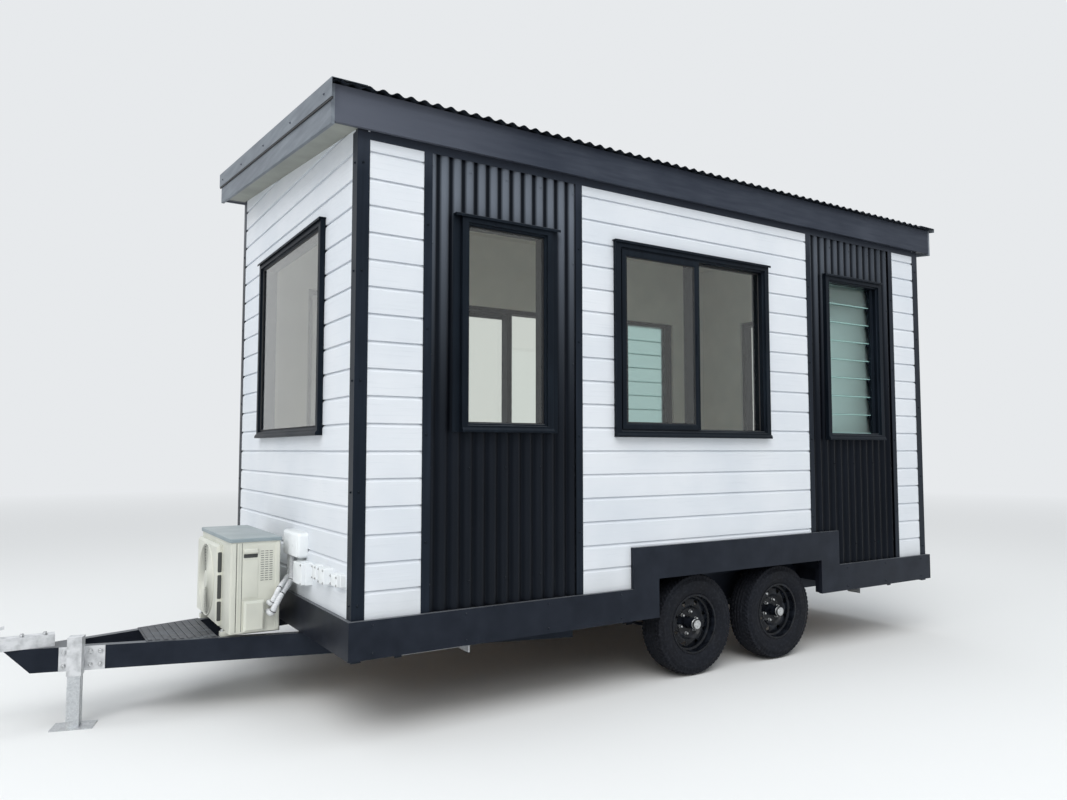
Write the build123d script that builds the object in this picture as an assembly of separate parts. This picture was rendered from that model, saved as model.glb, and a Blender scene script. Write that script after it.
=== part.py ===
from build123d import *
import math
import os

# Tiny house on a tandem axle trailer: millimetres, +Z up, ground at zero.
# The coupling points along -X, and the long wall with the wide window faces -Y.
# The origin is on the ground, in the middle of the footprint.

# House walls and floor
WALL_LENGTH = 4800.0
WALL_WIDTH = 2470.0
BOARD_EDGE = 608.0        # bottom edge of the wall boards above the ground
BOARD_THICKNESS = 20.0
FRAME_THICKNESS = 90.0
DECK_THICKNESS = 28.0
DECK_RISE = 8.0           # deck top above the boards' bottom edge
BOARD_JOINT_GAP = 4.0     # end boards stop this far short of the side boards
CUT_PAST = 10.0           # cutters of walls and floor reach this far past them
THIN_PAST = 1.0           # cutters of sheets and frames reach this far past them

# Roof
LOW_SIDE_HEIGHT = 2655.0  # underside of the roof sheet over the low wall's face
ROOF_PITCH = 6.2          # degrees
ROOF_DEPTH = 175.0
SOFFIT_THICKNESS = 9.0
FRONT_OVERHANG = 158.0
REAR_OVERHANG = 118.0
LOW_EAVE = 48.0
HIGH_EAVE = 86.0
LOW_SHEET_LAP = 39.0
HIGH_SHEET_LAP = 28.0
FASCIA_THICKNESS = 20.0
FASCIA_HEIGHT = 190.0
BARGE_HEIGHT = 205.0
CAPPING_STANDOFF = 8.0
CAPPING_GAP = 2.0         # roof sheet's end to the capping's face
CAPPING_SHEET = 1.5
CAPPING_FACES = (96.0, 30.0)      # drop of the front capping and of the rear one
CAPPING_COVER = 185.0

# Corrugated sheet
WAVE_PITCH = 76.2
WAVE_DEPTH = 16.0
SHEET_THICKNESS = 1.0
WAVE_STEPS = 6            # straight facets to each wave

# Trims
CORNER_TRIM = 65.0
EDGE_TRIM = 48.0
EDGE_TRIM_LAP = 10.0      # middle of the strip beyond the panel's edge
TRIM_TOP_GAP = 1.0        # trims stop this far below the soffits
PANEL_TOP_GAP = 6.0       # corrugated panels stop this far below the roof frame
HEAD_TRIM = 46.0
TRIM_SHEET = 2.5

# Corrugated panels: the front ones back from the front wall, the rear ones in from the rear wall
FRONT_PANEL = (382.0, 1384.0)
REAR_PANEL_IN = (1368.0, 355.0)

# Windows: distance back from the front wall or in from the near wall, and heights
FIXED_WINDOW = (586.0, 1173.0, 934.0, 2112.0)
SLIDING_PLACE = 0.4814    # middle of the sliding window as a share of the wall's length
SLIDING_WIDTH = 1351.0
SLIDING_HEIGHTS = (916.0, 2121.0)
LOUVRE_IN = (1196.0, 528.0)       # in from the rear wall
LOUVRE_HEIGHTS = (914.0, 2143.0)
END_WINDOW = (497.0, 1854.0, 919.0, 2126.0)
DOOR = (463.0, 1303.0, 12.0, 2112.0)
FRAME_BAR = 50.0
FRAME_STAND = 30.0        # frames stand this far out of the wall face
FRAME_LAP = 12.0          # outer frame laps the wall opening by this much
FRAME_REACH = 85.0        # spigot depth behind the wall face
SPIGOT_GAP = 0.5
HEAD_LAP = 10.0           # head flashing beyond the frame on each side
HEAD_SHEET = 4.0
HEAD_STAND = 12.0
FLASHING_WIDTH = 45.0     # flat strips beside the fixed window
FLASHING_STAND = 6.0
GLASS_THICKNESS = 6.0
GLASS_GAP = 0.3
FIXED_GLASS_DEPTH = 33.0  # glass behind the frame's outer face
END_GLASS_DEPTH = 20.0
OUTER_SASH_DEPTH = 8.0    # outer sash behind the frame's outer face
SASH_GLASS_DEPTH = 9.0    # glass behind the sash's own face
INNER_GLASS_DEPTH = 55.0
SASH_BAR = 38.0
SASH_THICKNESS = 24.0
MULLION_WIDTH = 50.0

# Louvre blades
BLADE_COUNT = 8
BLADE_WIDTH = 150.0
BLADE_THICKNESS = 6.0
BLADE_LEAN = 6.0          # degrees from upright
BLADE_SETBACK = 38.0      # blades' middle behind the wall face
GALLERY_WIDTH = 40.0
GALLERY_INSET = 10.0      # galleries stop this far inside the frame's depth

# Wheels
TYRE_DIAMETER = 650.0
TYRE_WIDTH = 185.0
TYRE_INSET = 30.0         # tyre's outer face behind the wall face
SHOULDER_DROP = 22.0      # shoulder below the tread
SHOULDER_INSET = 8.0      # shoulder in from the tyre's widest face
TREAD_INSET = 30.0        # edge of the flat tread in from the widest face
GROOVE_COUNT = 3
GROOVE_SPACING = 32.0
GROOVE_WIDTHS = (10.0, 8.0)       # at the tread and at the bottom
GROOVE_DEPTH = 8.0
RIM_RADIUS = 178.0
RIM_LIP = 190.0
RIM_SHEET = 5.0
BEAD_INSET = 22.0         # bead in from the tyre's widest face
BEAD_GAP = 0.3
BEAD_STAND = 2.0          # bead's foot clear of the rim's lip
WELL_DROP = 22.0          # middle of the barrel below the bead seat
WELL_START = (28.0, 40.0)         # slope down to the well, in from the lip
DISC_INSET = 62.0         # flat of the disc in from the lip
DISC_RADII = (92.0, 112.0)        # edge of the flat and top of the raised ring
DISC_RISES = (22.0, 14.0)         # raised ring and outer edge, out from the flat
SPOKE_COUNT = 8
SPOKE_WINDOW = (20.0, 146.0, 116.0)       # half width, outer radius and inner radius
HUB_RADIUS = 36.0
HUB_LENGTH = 96.0
HUB_BEHIND = 24.0         # hub's inner end behind the disc
CAP_STEP = 5.0            # cap's radius less than the hub's
CAP_LENGTH = 22.0
STUB_RADIUS = 20.0
STUB_CLEARANCE = 0.1
STUB_REACH = 50.0         # stub inside the hub
STUB_BORE = 60.0
BEAM_CLEARANCE = 6.0      # square beam to the hub
FRONT_AXLE = 2320.0
AXLE_SPACING = 786.0
AXLE_SQUARE = 45.0

# Wheel arch and skirt
SKIRT_STAND = 28.0
SKIRT_SHEET = 3.0
SKIRT_HEIGHT = 189.0
SKIRT_END_STAND = 24.0
ARCH_FRONT_CLEARANCE = 39.0
ARCH_REAR_CLEARANCE = 58.0
ARCH_HEAD = 47.0          # head of the opening above the boards' bottom edge
ARCH_BAND = 200.0
WHEEL_BOX_LAP = 25.0
WHEEL_BOX_HEADROOM = 150.0
WHEEL_BOX_CLEARANCE = 40.0
WHEEL_BOX_SHEET = 3.0

# Chassis
MAIN_RAIL_WIDTH = 60.0
MAIN_RAIL_HEIGHT = 185.0
MAIN_RAIL_CENTRE = 930.0
EDGE_RAIL_WIDTH = 50.0
CROSS_WIDTH = 50.0
CROSS_HEIGHT = 100.0
CROSS_BAYS = 8

# Drawbar and coupling
COUPLING_REACH = 1700.0   # front of the coupling ahead of the front wall
NOSE_SETBACK = 260.0      # rails' front ends behind the front of the coupling
NOSE_CUT = 125.0          # rails' front ends slope back by this much at the bottom
DRAWBAR_ANGLE = 16.45     # degrees off the centre line
DRAWBAR_WIDTH = 50.0
DRAWBAR_HEIGHT = 125.0
DRAWBAR_TAIL = 1560.0
RAIL_MEET = 140.0         # inner faces of the rails meet this far behind the nose
NOSE_PLATE = 300.0        # plates between the rails reach this far back from the nose
NOSE_SHEET = 8.0
COUPLING_WIDTH = 78.0
COUPLING_HEIGHT = 62.0
COUPLING_SHEET = 5.0
COUPLING_LENGTH = 495.0
COUPLING_BASE = 220.0     # floor of the channel, in from its tail
LEVER_WIDTH = 24.0
LEVER_RISE = 62.0         # hand lever's end above the coupling
LEVER_THICKNESS = 14.0
BALL_RADIUS = 25.4
CUP_RADIUS = 40.0
CUP_HEIGHT = 56.0

# Drop leg
JACK_SETBACK = 340.0      # leg's middle behind the rails' front ends
SLEEVE_WIDTH = 70.0
SLEEVE_WALL = 4.0
SLEEVE_RISE = 62.0
SLEEVE_DROP = 12.0
LEG_CLEARANCE = 0.3
LEG_HEADROOM = 5.0        # left over the leg at the top of its travel
LEG_TRAVEL = 120.0
CLAMP_AHEAD = 90.0        # clamp plate ahead of the leg's middle
CLAMP_BEHIND = 132.0
CLAMP_SHEET = 6.0
FOOT_LENGTH = 200.0
FOOT_WIDTH = 130.0
FOOT_SHEET = 6.0

# Corner steadies
STEADY_INSET = 300.0      # pivots in from each end wall
STEADY_SIDE = 1080.0      # arm's middle off the centre line
STEADY_LENGTH = 400.0
STEADY_WIDTH = 40.0
STEADY_DEPTH = 26.0
STEADY_PIN = 8.0
STEADY_DROP = 45.0
STEADY_FOOT = 110.0
STEADY_FOOT_SHEET = 6.0
STEADY_FOOT_DROP = 40.0
STEADY_CHEEK_GAP = 5.0
STEADY_CHEEK = 6.0
STEADY_CHEEK_LENGTH = 40.0
STEADY_CHEEK_DROP = 18.0

# Springs
SPRING_SPAN = 700.0
SPRING_WIDTH = 45.0
SPRING_LEAF = 8.0
SPRING_LEAVES = 4
SPRING_SAG = 34.0
SPRING_EYE = 14.0
SPRING_SEAT_GAP = 0.3
HANGER_SHEET = 8.0
HANGER_LENGTH = 44.0

# Condenser on the drawbar
CONDENSER_BACK = (115.0, 390.0)  # ahead of the front wall
CONDENSER_SIDES = (-380.0, 450.0)
CONDENSER_HEIGHT = 510.0
CONDENSER_FOOT = 25.0
CONDENSER_CORNER = 14.0
FOOT_SHARE = 0.72         # feet from the casing's middle, as a share of half its width
FOOT_HALF = 22.0
FOOT_REACH = 25.0
LID_LAP = 4.0
LID_HEIGHT = 12.0
LID_CHAMFER = 10.0
FRONT_PANEL_STAND = 30.0  # fan panel stands this far out of the casing
FRONT_PANEL_SIDES = (-165.0, 425.0)
FRONT_PANEL_RISE = (13.0, 470.0)
FRONT_PANEL_CHAMFER = 14.0
VALVE_COVER_BACK = (92.0, 205.0)  # in from the casing's rear
VALVE_COVER_RISE = (10.0, 178.0)
VALVE_COVER_STAND = 34.0
VALVE_COVER_CHAMFER = 12.0
FAN_RADIUS = 205.0
FAN_DEPTH = 90.0          # fan mouth into the casing
GUARD_WIRE = 3.0
GUARD_RINGS = 6
GUARD_SPOKES = 4
GUARD_HUB = 48.0
GUARD_LAP = 12.0

# Deck plate on the drawbar
PLATE_BACK = (430.0, 780.0)
PLATE_THICKNESS = 4.0
PLATE_RIB = 3.0
PLATE_RIBS = 9
PLATE_RIB_INSET = 20.0

# Boxes on the front wall: stand, sides off the centre line, heights above the boards' edge
PIPE_COVER = (60.0, -510.0, -200.0, 227.0, 370.0)
PIPE_COVER_CHAMFER = 14.0
SMALL_BOXES = (
    (62.0, -600.0, -436.0, 86.0, 212.0),
    (40.0, -790.0, -716.0, 140.0, 222.0),
    (52.0, -958.0, -862.0, 138.0, 226.0),
    (48.0, -1155.0, -1045.0, 152.0, 216.0),
)

# Lagged pipes between the cooling unit and its cover
PIPE_RADII = (17.0, 14.0)
VALVE_LENGTH = 26.0
VALVE_SHARE = 0.7         # valve's radius as a share of the lagging's
VALVE_BACK = 66.0         # in from the casing's rear
VALVE_RISES = (108.0, 160.0)
PIPE_PLACES = (0.68, 0.83)      # where the pipes enter the cover, as shares of its width
PIPE_BENDS = (18.0, 30.0, 40.0)

# Entry door leaf
DOOR_LEAF = 40.0
DOOR_STILE = 110.0
DOOR_LOCK_HEIGHT = 900.0
DOOR_GLASS_SILL = 60.0    # glass above the lock's height
DOOR_SETBACK = 20.0       # leaf behind the wall face
DOOR_HANDLE_PLATE = (75.0, 35.0, 60.0, 120.0)
DOOR_PANEL_DEPTH = 10.0
DOOR_LEVER = 120.0
DOOR_LEVER_STAND = 48.0
DOOR_LEVER_SECTION = (14.0, 18.0)

# Values worked out from the sizes above
REAR_PANEL = (WALL_LENGTH - REAR_PANEL_IN[0], WALL_LENGTH - REAR_PANEL_IN[1])
LOUVRE_WINDOW = (WALL_LENGTH - LOUVRE_IN[0], WALL_LENGTH - LOUVRE_IN[1]) + LOUVRE_HEIGHTS
SLIDING_MIDDLE = SLIDING_PLACE * WALL_LENGTH
SLIDING_WINDOW = (SLIDING_MIDDLE - SLIDING_WIDTH / 2, SLIDING_MIDDLE + SLIDING_WIDTH / 2) + SLIDING_HEIGHTS
DRAWBAR_NOSE = COUPLING_REACH - NOSE_SETBACK
JACK_BACK = DRAWBAR_NOSE - JACK_SETBACK
CONDENSER_MIDDLE = sum(CONDENSER_SIDES) / 2
OVERALL_LENGTH = COUPLING_REACH + WALL_LENGTH + REAR_OVERHANG + CAPPING_STANDOFF + CAPPING_SHEET
FRONT_X = COUPLING_REACH - OVERALL_LENGTH / 2
HALF_WIDTH = WALL_WIDTH / 2
FRAME_FACE = HALF_WIDTH - BOARD_THICKNESS
FRAME_INSIDE = FRAME_FACE - FRAME_THICKNESS
DECK_TOP = BOARD_EDGE + DECK_RISE
DECK_BOTTOM = DECK_TOP - DECK_THICKNESS
PITCH_TAN = math.tan(math.radians(ROOF_PITCH))
PITCH_COS = math.cos(math.radians(ROOF_PITCH))
TYRE_RADIUS = TYRE_DIAMETER / 2
HUB_HEIGHT = TYRE_RADIUS
TYRE_OUTER = HALF_WIDTH - TYRE_INSET
TYRE_INNER = TYRE_OUTER - TYRE_WIDTH
TYRE_MIDDLE = (TYRE_OUTER + TYRE_INNER) / 2
AXLES = (FRONT_AXLE, FRONT_AXLE + AXLE_SPACING)
ARCH_FRONT = FRONT_AXLE - TYRE_RADIUS - ARCH_FRONT_CLEARANCE
ARCH_REAR = AXLES[1] + TYRE_RADIUS + ARCH_REAR_CLEARANCE
BOX_FRONT = ARCH_FRONT - WHEEL_BOX_LAP
BOX_REAR = ARCH_REAR + WHEEL_BOX_LAP
BOX_TOP = TYRE_DIAMETER + WHEEL_BOX_HEADROOM
BOX_INSIDE = TYRE_INNER - WHEEL_BOX_CLEARANCE
SKIRT_BOTTOM = BOARD_EDGE - SKIRT_HEIGHT
MAIN_RAIL_BOTTOM = DECK_BOTTOM - MAIN_RAIL_HEIGHT
DRAWBAR_BOTTOM = MAIN_RAIL_BOTTOM - DRAWBAR_HEIGHT
SIDES = (("near", -1), ("far", 1))
STANDING = (Align.CENTER, Align.CENTER, Align.MIN)


def back(distance):
    """X of a place this far behind the face of the front wall."""
    return FRONT_X + distance


def up(height):
    """Z of a place this far above the boards' bottom edge."""
    return BOARD_EDGE + height


def block(x0, x1, y0, y1, z0, z1):
    """Box between two corners, given in any order."""
    size = Box(abs(x1 - x0), abs(y1 - y0), abs(z1 - z0))
    return Pos((x0 + x1) / 2, (y0 + y1) / 2, (z0 + z1) / 2) * size


def prism(points, push):
    """Flat outline through 3-D points, pushed along a vector."""
    outline = make_face(Polyline(*points, close=True))
    length = math.sqrt(sum(part * part for part in push))
    return extrude(outline, amount=length, dir=push)


def tube_ring(radius_out, radius_in, length):
    """Round ring along Z, from zero up to its length."""
    return extrude(Circle(radius_out) - Circle(radius_in), amount=length)


def far_copy(shape):
    """The same piece on the other side of the centre line."""
    return mirror(shape, about=Plane.XZ)


def roof_line(y, offset):
    """Height at y of the plane this far off the sheet's underside, measured square to it."""
    return up(LOW_SIDE_HEIGHT) + (y + HALF_WIDTH) * PITCH_TAN + offset / PITCH_COS


def soffit_line(y):
    """Height at y of the soffits' underside."""
    return roof_line(y, -ROOF_DEPTH - SOFFIT_THICKNESS)


def sloped_wall(x0, x1, y0, y1, z0, offset):
    """Wall between two Y values whose top follows the roof at an offset."""
    points = [
        (x0, y0, z0),
        (x0, y1, z0),
        (x0, y1, roof_line(y1, offset)),
        (x0, y0, roof_line(y0, offset)),
    ]
    return prism(points, (x1 - x0, 0, 0))


# Openings in the walls


def side_hole(opening, side, margin):
    """Cutter for an opening in a long wall, smaller than the frame by a margin."""
    x0, x1, z0, z1 = opening
    y0 = side * (FRAME_INSIDE - CUT_PAST)
    y1 = side * (HALF_WIDTH + CUT_PAST)
    return block(back(x0 + margin), back(x1 - margin), y0, y1, up(z0 + margin), up(z1 - margin))


def end_hole(opening, end, margin):
    """Cutter for the opening in the front wall (end 0) or the rear wall (end 1)."""
    y0, y1, z0, z1 = opening
    x_face = back(end * WALL_LENGTH)
    reach = BOARD_THICKNESS + FRAME_THICKNESS + CUT_PAST
    return block(
        x_face - reach,
        x_face + reach,
        y0 + margin - HALF_WIDTH,
        y1 - margin - HALF_WIDTH,
        up(z0 + margin),
        up(z1 - margin),
    )


def door_hole(margin):
    """Cutter for the doorway, open down past the deck's top."""
    x0, x1, z0, z1 = DOOR
    return block(
        back(x0 + margin),
        back(x1 - margin),
        FRAME_INSIDE - CUT_PAST,
        HALF_WIDTH + CUT_PAST,
        DECK_TOP - DECK_THICKNESS,
        up(z1 - margin),
    )


def wheel_hole(side, margin):
    """Cutter for the wheel box where it passes through floor and wall."""
    y0 = side * (BOX_INSIDE - margin)
    y1 = side * (HALF_WIDTH + CUT_PAST)
    bottom = DECK_BOTTOM - CUT_PAST
    return block(back(BOX_FRONT - margin), back(BOX_REAR + margin), y0, y1, bottom, BOX_TOP + margin)


# Floor and chassis


def floor_deck():
    """Plywood deck, notched round both wheel boxes."""
    deck = block(
        back(BOARD_THICKNESS),
        back(WALL_LENGTH - BOARD_THICKNESS),
        -FRAME_FACE,
        FRAME_FACE,
        DECK_BOTTOM,
        DECK_TOP,
    )
    for _, side in SIDES:
        deck -= wheel_hole(side, 0)
    return deck


def member(x0, x1, y0, y1, z0):
    """Straight chassis member hung under the deck."""
    return block(back(x0), back(x1), y0, y1, z0, DECK_BOTTOM)


def cross_spans(distance):
    """Y spans of a cross member: between the main rails, and out to the edge rails if clear of the wheels."""
    inner = MAIN_RAIL_CENTRE - MAIN_RAIL_WIDTH / 2
    outer = MAIN_RAIL_CENTRE + MAIN_RAIL_WIDTH / 2
    edge = HALF_WIDTH - EDGE_RAIL_WIDTH
    clear = CROSS_WIDTH / 2
    if BOX_FRONT - clear < distance < BOX_REAR + clear:
        return [(-inner, inner)]
    return [(-edge, -outer), (-inner, inner), (outer, edge)]


def chassis_frame():
    """Ladder of main rails, cross members, edge rails and end beams, welded where they touch."""
    main = MAIN_RAIL_WIDTH / 2
    edge = HALF_WIDTH - EDGE_RAIL_WIDTH
    beam = EDGE_RAIL_WIDTH
    low = WALL_LENGTH - beam
    members = []
    for _, side in SIDES:
        y = side * MAIN_RAIL_CENTRE
        members.append(member(beam, low, y - main, y + main, MAIN_RAIL_BOTTOM))
        members.append(member(beam, BOX_FRONT, side * edge, side * HALF_WIDTH, SKIRT_BOTTOM))
        members.append(member(BOX_REAR, low, side * edge, side * HALF_WIDTH, SKIRT_BOTTOM))
    for x0, x1 in ((0, beam), (low, WALL_LENGTH)):
        members.append(member(x0, x1, -HALF_WIDTH, HALF_WIDTH, MAIN_RAIL_BOTTOM))
    for index in range(1, CROSS_BAYS):
        distance = index * WALL_LENGTH / CROSS_BAYS
        for y0, y1 in cross_spans(distance):
            x0 = distance - CROSS_WIDTH / 2
            members.append(member(x0, x0 + CROSS_WIDTH, y0, y1, DECK_BOTTOM - CROSS_HEIGHT))
    return Compound(children=members)


def skirt_outline(inset):
    """Corner points of the side skirt with its arch, moved in by an inset."""
    low = SKIRT_BOTTOM + inset
    high = BOARD_EDGE - inset
    head = up(ARCH_HEAD) + inset
    band_top = up(ARCH_HEAD) + ARCH_BAND - inset
    front = back(-SKIRT_END_STAND) + inset
    rear = back(WALL_LENGTH + SKIRT_END_STAND) - inset
    arch_front = back(ARCH_FRONT) - inset
    arch_rear = back(ARCH_REAR) + inset
    band_front = back(ARCH_FRONT - ARCH_BAND) + inset
    band_rear = back(ARCH_REAR + ARCH_BAND) - inset
    return [
        (front, low),
        (arch_front, low),
        (arch_front, head),
        (arch_rear, head),
        (arch_rear, low),
        (rear, low),
        (rear, high),
        (band_rear, high),
        (band_rear, band_top),
        (band_front, band_top),
        (band_front, high),
        (front, high),
    ]


def side_skirt(side):
    """Folded steel tray along a long side, with the wheel arch raised in it."""
    y_face = side * (HALF_WIDTH + SKIRT_STAND)
    y_back = side * HALF_WIDTH
    outer = [(x, y_back, z) for x, z in skirt_outline(0)]
    inner = [(x, y_back, z) for x, z in skirt_outline(SKIRT_SHEET)]
    tray = prism(outer, (0, y_face - y_back, 0))
    hollow = prism(inner, (0, y_face - y_back - side * SKIRT_SHEET, 0))
    return tray - hollow


def end_skirts():
    """Folded steel trays across the front and the rear."""
    trays = []
    for x_back, out in ((back(0), -1), (back(WALL_LENGTH), 1)):
        x_face = x_back + out * SKIRT_END_STAND
        tray = block(x_back, x_face, -HALF_WIDTH, HALF_WIDTH, SKIRT_BOTTOM, BOARD_EDGE)
        hollow = block(
            x_back,
            x_face - out * SKIRT_SHEET,
            -HALF_WIDTH + SKIRT_SHEET,
            HALF_WIDTH - SKIRT_SHEET,
            SKIRT_BOTTOM + SKIRT_SHEET,
            BOARD_EDGE - SKIRT_SHEET,
        )
        trays.append(tray - hollow)
    return Compound(children=trays)


def wheel_boxes():
    """Sheet metal boxes that close the floor over each pair of tyres."""
    boxes = []
    sheet = WHEEL_BOX_SHEET
    for _, side in SIDES:
        y_out = side * FRAME_FACE
        outer = block(back(BOX_FRONT), back(BOX_REAR), side * BOX_INSIDE, y_out, DECK_BOTTOM, BOX_TOP)
        hollow = block(
            back(BOX_FRONT + sheet),
            back(BOX_REAR - sheet),
            side * (BOX_INSIDE + sheet),
            y_out + side * THIN_PAST,
            DECK_BOTTOM - THIN_PAST,
            BOX_TOP - sheet,
        )
        boxes.append(outer - hollow)
    return Compound(children=boxes)


# Drawbar, coupling and what they carry


def drawbar_rail_half(distance):
    """How far the rail's outer face is off the centre line, behind the front wall."""
    angle = math.radians(DRAWBAR_ANGLE)
    return DRAWBAR_WIDTH / math.cos(angle) + math.tan(angle) * (DRAWBAR_NOSE - RAIL_MEET + distance)


def drawbar_rails():
    """Two rails that meet at the nose and run back under the main rails, their front ends cut sloping."""
    across = DRAWBAR_WIDTH / math.cos(math.radians(DRAWBAR_ANGLE))
    x0 = back(-DRAWBAR_NOSE)
    x_meet = x0 + RAIL_MEET
    x_tail = back(DRAWBAR_TAIL)
    x_plate = x0 + NOSE_PLATE
    nose = drawbar_rail_half(-DRAWBAR_NOSE)
    tail = drawbar_rail_half(DRAWBAR_TAIL)
    plate_half = drawbar_rail_half(NOSE_PLATE - DRAWBAR_NOSE)
    low = DRAWBAR_BOTTOM
    outline = [(x0, nose), (x_tail, tail), (x_tail, tail - across), (x_meet, 0)]
    outline += [(x_tail, across - tail), (x_tail, -tail), (x0, -nose)]
    rails = prism([(x, y, low) for x, y in outline], (0, 0, DRAWBAR_HEIGHT))
    for z in (low, MAIN_RAIL_BOTTOM - NOSE_SHEET):
        points = [(x0, -nose, z), (x_plate, -plate_half, z), (x_plate, plate_half, z), (x0, nose, z)]
        rails += prism(points, (0, 0, NOSE_SHEET))
    past = DRAWBAR_WIDTH
    cut = [
        (x0, -past, MAIN_RAIL_BOTTOM),
        (x0 + NOSE_CUT, -past, low),
        (x0 + NOSE_CUT, -past, low - past),
        (x0 - past, -past, low - past),
        (x0 - past, -past, MAIN_RAIL_BOTTOM),
    ]
    return rails - prism(cut, (0, 2 * past, 0))


def coupling():
    """Pressed coupling head with its ball cup and hand lever, bolted on the nose."""
    x_tail = back(COUPLING_LENGTH - COUPLING_REACH)
    x_cup = back(-COUPLING_REACH) + CUP_RADIUS
    half = COUPLING_WIDTH / 2
    floor = MAIN_RAIL_BOTTOM
    top = floor + COUPLING_HEIGHT
    sheet = COUPLING_SHEET
    body = block(x_cup, x_tail, -half, half, floor, top)
    past = THIN_PAST
    body -= block(x_cup, x_tail + past, -half + sheet, half - sheet, floor - past, top - sheet)
    base = block(x_tail - COUPLING_BASE, x_tail, -half, half, floor, floor + sheet)
    cup_bottom = top - CUP_HEIGHT
    cup = Pos(x_cup, 0, cup_bottom) * Cylinder(CUP_RADIUS, CUP_HEIGHT, align=STANDING)
    socket = Pos(x_cup, 0, cup_bottom) * Cylinder(BALL_RADIUS, CUP_HEIGHT - 2 * sheet, align=STANDING)
    lever_side = -LEVER_WIDTH / 2
    lever_root = x_cup + CUP_RADIUS
    lever_end = lever_root + 3 * LEVER_RISE
    lever_points = [
        (lever_root, lever_side, top),
        (lever_root, lever_side, top + LEVER_RISE / 2),
        (lever_end, lever_side, top + LEVER_RISE),
        (lever_end, lever_side, top + LEVER_RISE - LEVER_THICKNESS),
        (lever_root + LEVER_RISE / 2, lever_side, top + LEVER_RISE / 3),
        (lever_root + LEVER_RISE / 2, lever_side, top),
    ]
    lever = prism(lever_points, (0, LEVER_WIDTH, 0))
    return body + base + cup - socket + lever


def jack_place():
    """Where the drop leg stands: beside the near rail, turned to lie along it."""
    off = drawbar_rail_half(-JACK_BACK)
    turn = math.radians(DRAWBAR_ANGLE)
    reach = CLAMP_SHEET + SLEEVE_WIDTH / 2
    x = back(-JACK_BACK) - reach * math.sin(turn)
    y = -off - reach * math.cos(turn)
    return Pos(x, y, 0) * Rot(0, 0, -DRAWBAR_ANGLE)


def jack_sleeve():
    """Square sleeve and its clamp plate on the near rail."""
    half = SLEEVE_WIDTH / 2
    z0 = DRAWBAR_BOTTOM - SLEEVE_DROP
    z1 = MAIN_RAIL_BOTTOM + SLEEVE_RISE
    bore = half - SLEEVE_WALL
    sleeve = block(-half, half, -half, half, z0, z1)
    plate = block(-CLAMP_AHEAD, CLAMP_BEHIND, half, half + CLAMP_SHEET, DRAWBAR_BOTTOM, MAIN_RAIL_BOTTOM)
    cap = block(-half, half, -half, half, z1 - SLEEVE_WALL, z1)
    hollow = block(-bore, bore, -bore, bore, z0 - THIN_PAST, z1 + THIN_PAST)
    return jack_place() * (sleeve + plate - hollow + cap)


def jack_leg():
    """Inner leg with its foot plate on the ground."""
    half = SLEEVE_WIDTH / 2 - SLEEVE_WALL - LEG_CLEARANCE
    top = MAIN_RAIL_BOTTOM + SLEEVE_RISE - SLEEVE_WALL - LEG_TRAVEL - LEG_HEADROOM
    leg = block(-half, half, -half, half, 0, top)
    foot = block(-FOOT_LENGTH / 2, FOOT_LENGTH / 2, -FOOT_WIDTH / 2, FOOT_WIDTH / 2, 0, FOOT_SHEET)
    return jack_place() * (leg + foot)


def drawbar_deck():
    """Ribbed steel plate that fills the gap between the rails."""
    x0 = back(-PLATE_BACK[1])
    x1 = back(-PLATE_BACK[0])
    half0 = drawbar_rail_half(-PLATE_BACK[1])
    half1 = drawbar_rail_half(-PLATE_BACK[0])
    base = MAIN_RAIL_BOTTOM
    points = [(x0, -half0, base), (x0, half0, base), (x1, half1, base), (x1, -half1, base)]
    plate = prism(points, (0, 0, PLATE_THICKNESS))
    for index in range(PLATE_RIBS):
        share = (index + 0.5) / PLATE_RIBS
        x = x0 + share * (x1 - x0)
        reach = half0 + share * (half1 - half0) - PLATE_RIB_INSET
        rib_half = (x1 - x0) / PLATE_RIBS / 4
        plate += block(x - rib_half, x + rib_half, -reach, reach, base, base + PLATE_THICKNESS + PLATE_RIB)
    return plate


def condenser_base():
    """Height of the casing's bottom, on its feet."""
    return MAIN_RAIL_BOTTOM + CONDENSER_FOOT


def fan_place():
    """Middle of the fan's mouth, on the face of the fan panel."""
    x = back(-CONDENSER_BACK[1]) - FRONT_PANEL_STAND
    return Pos(x, sum(FRONT_PANEL_SIDES) / 2, condenser_base() + sum(FRONT_PANEL_RISE) / 2) * Rot(0, 90, 0)


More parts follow.
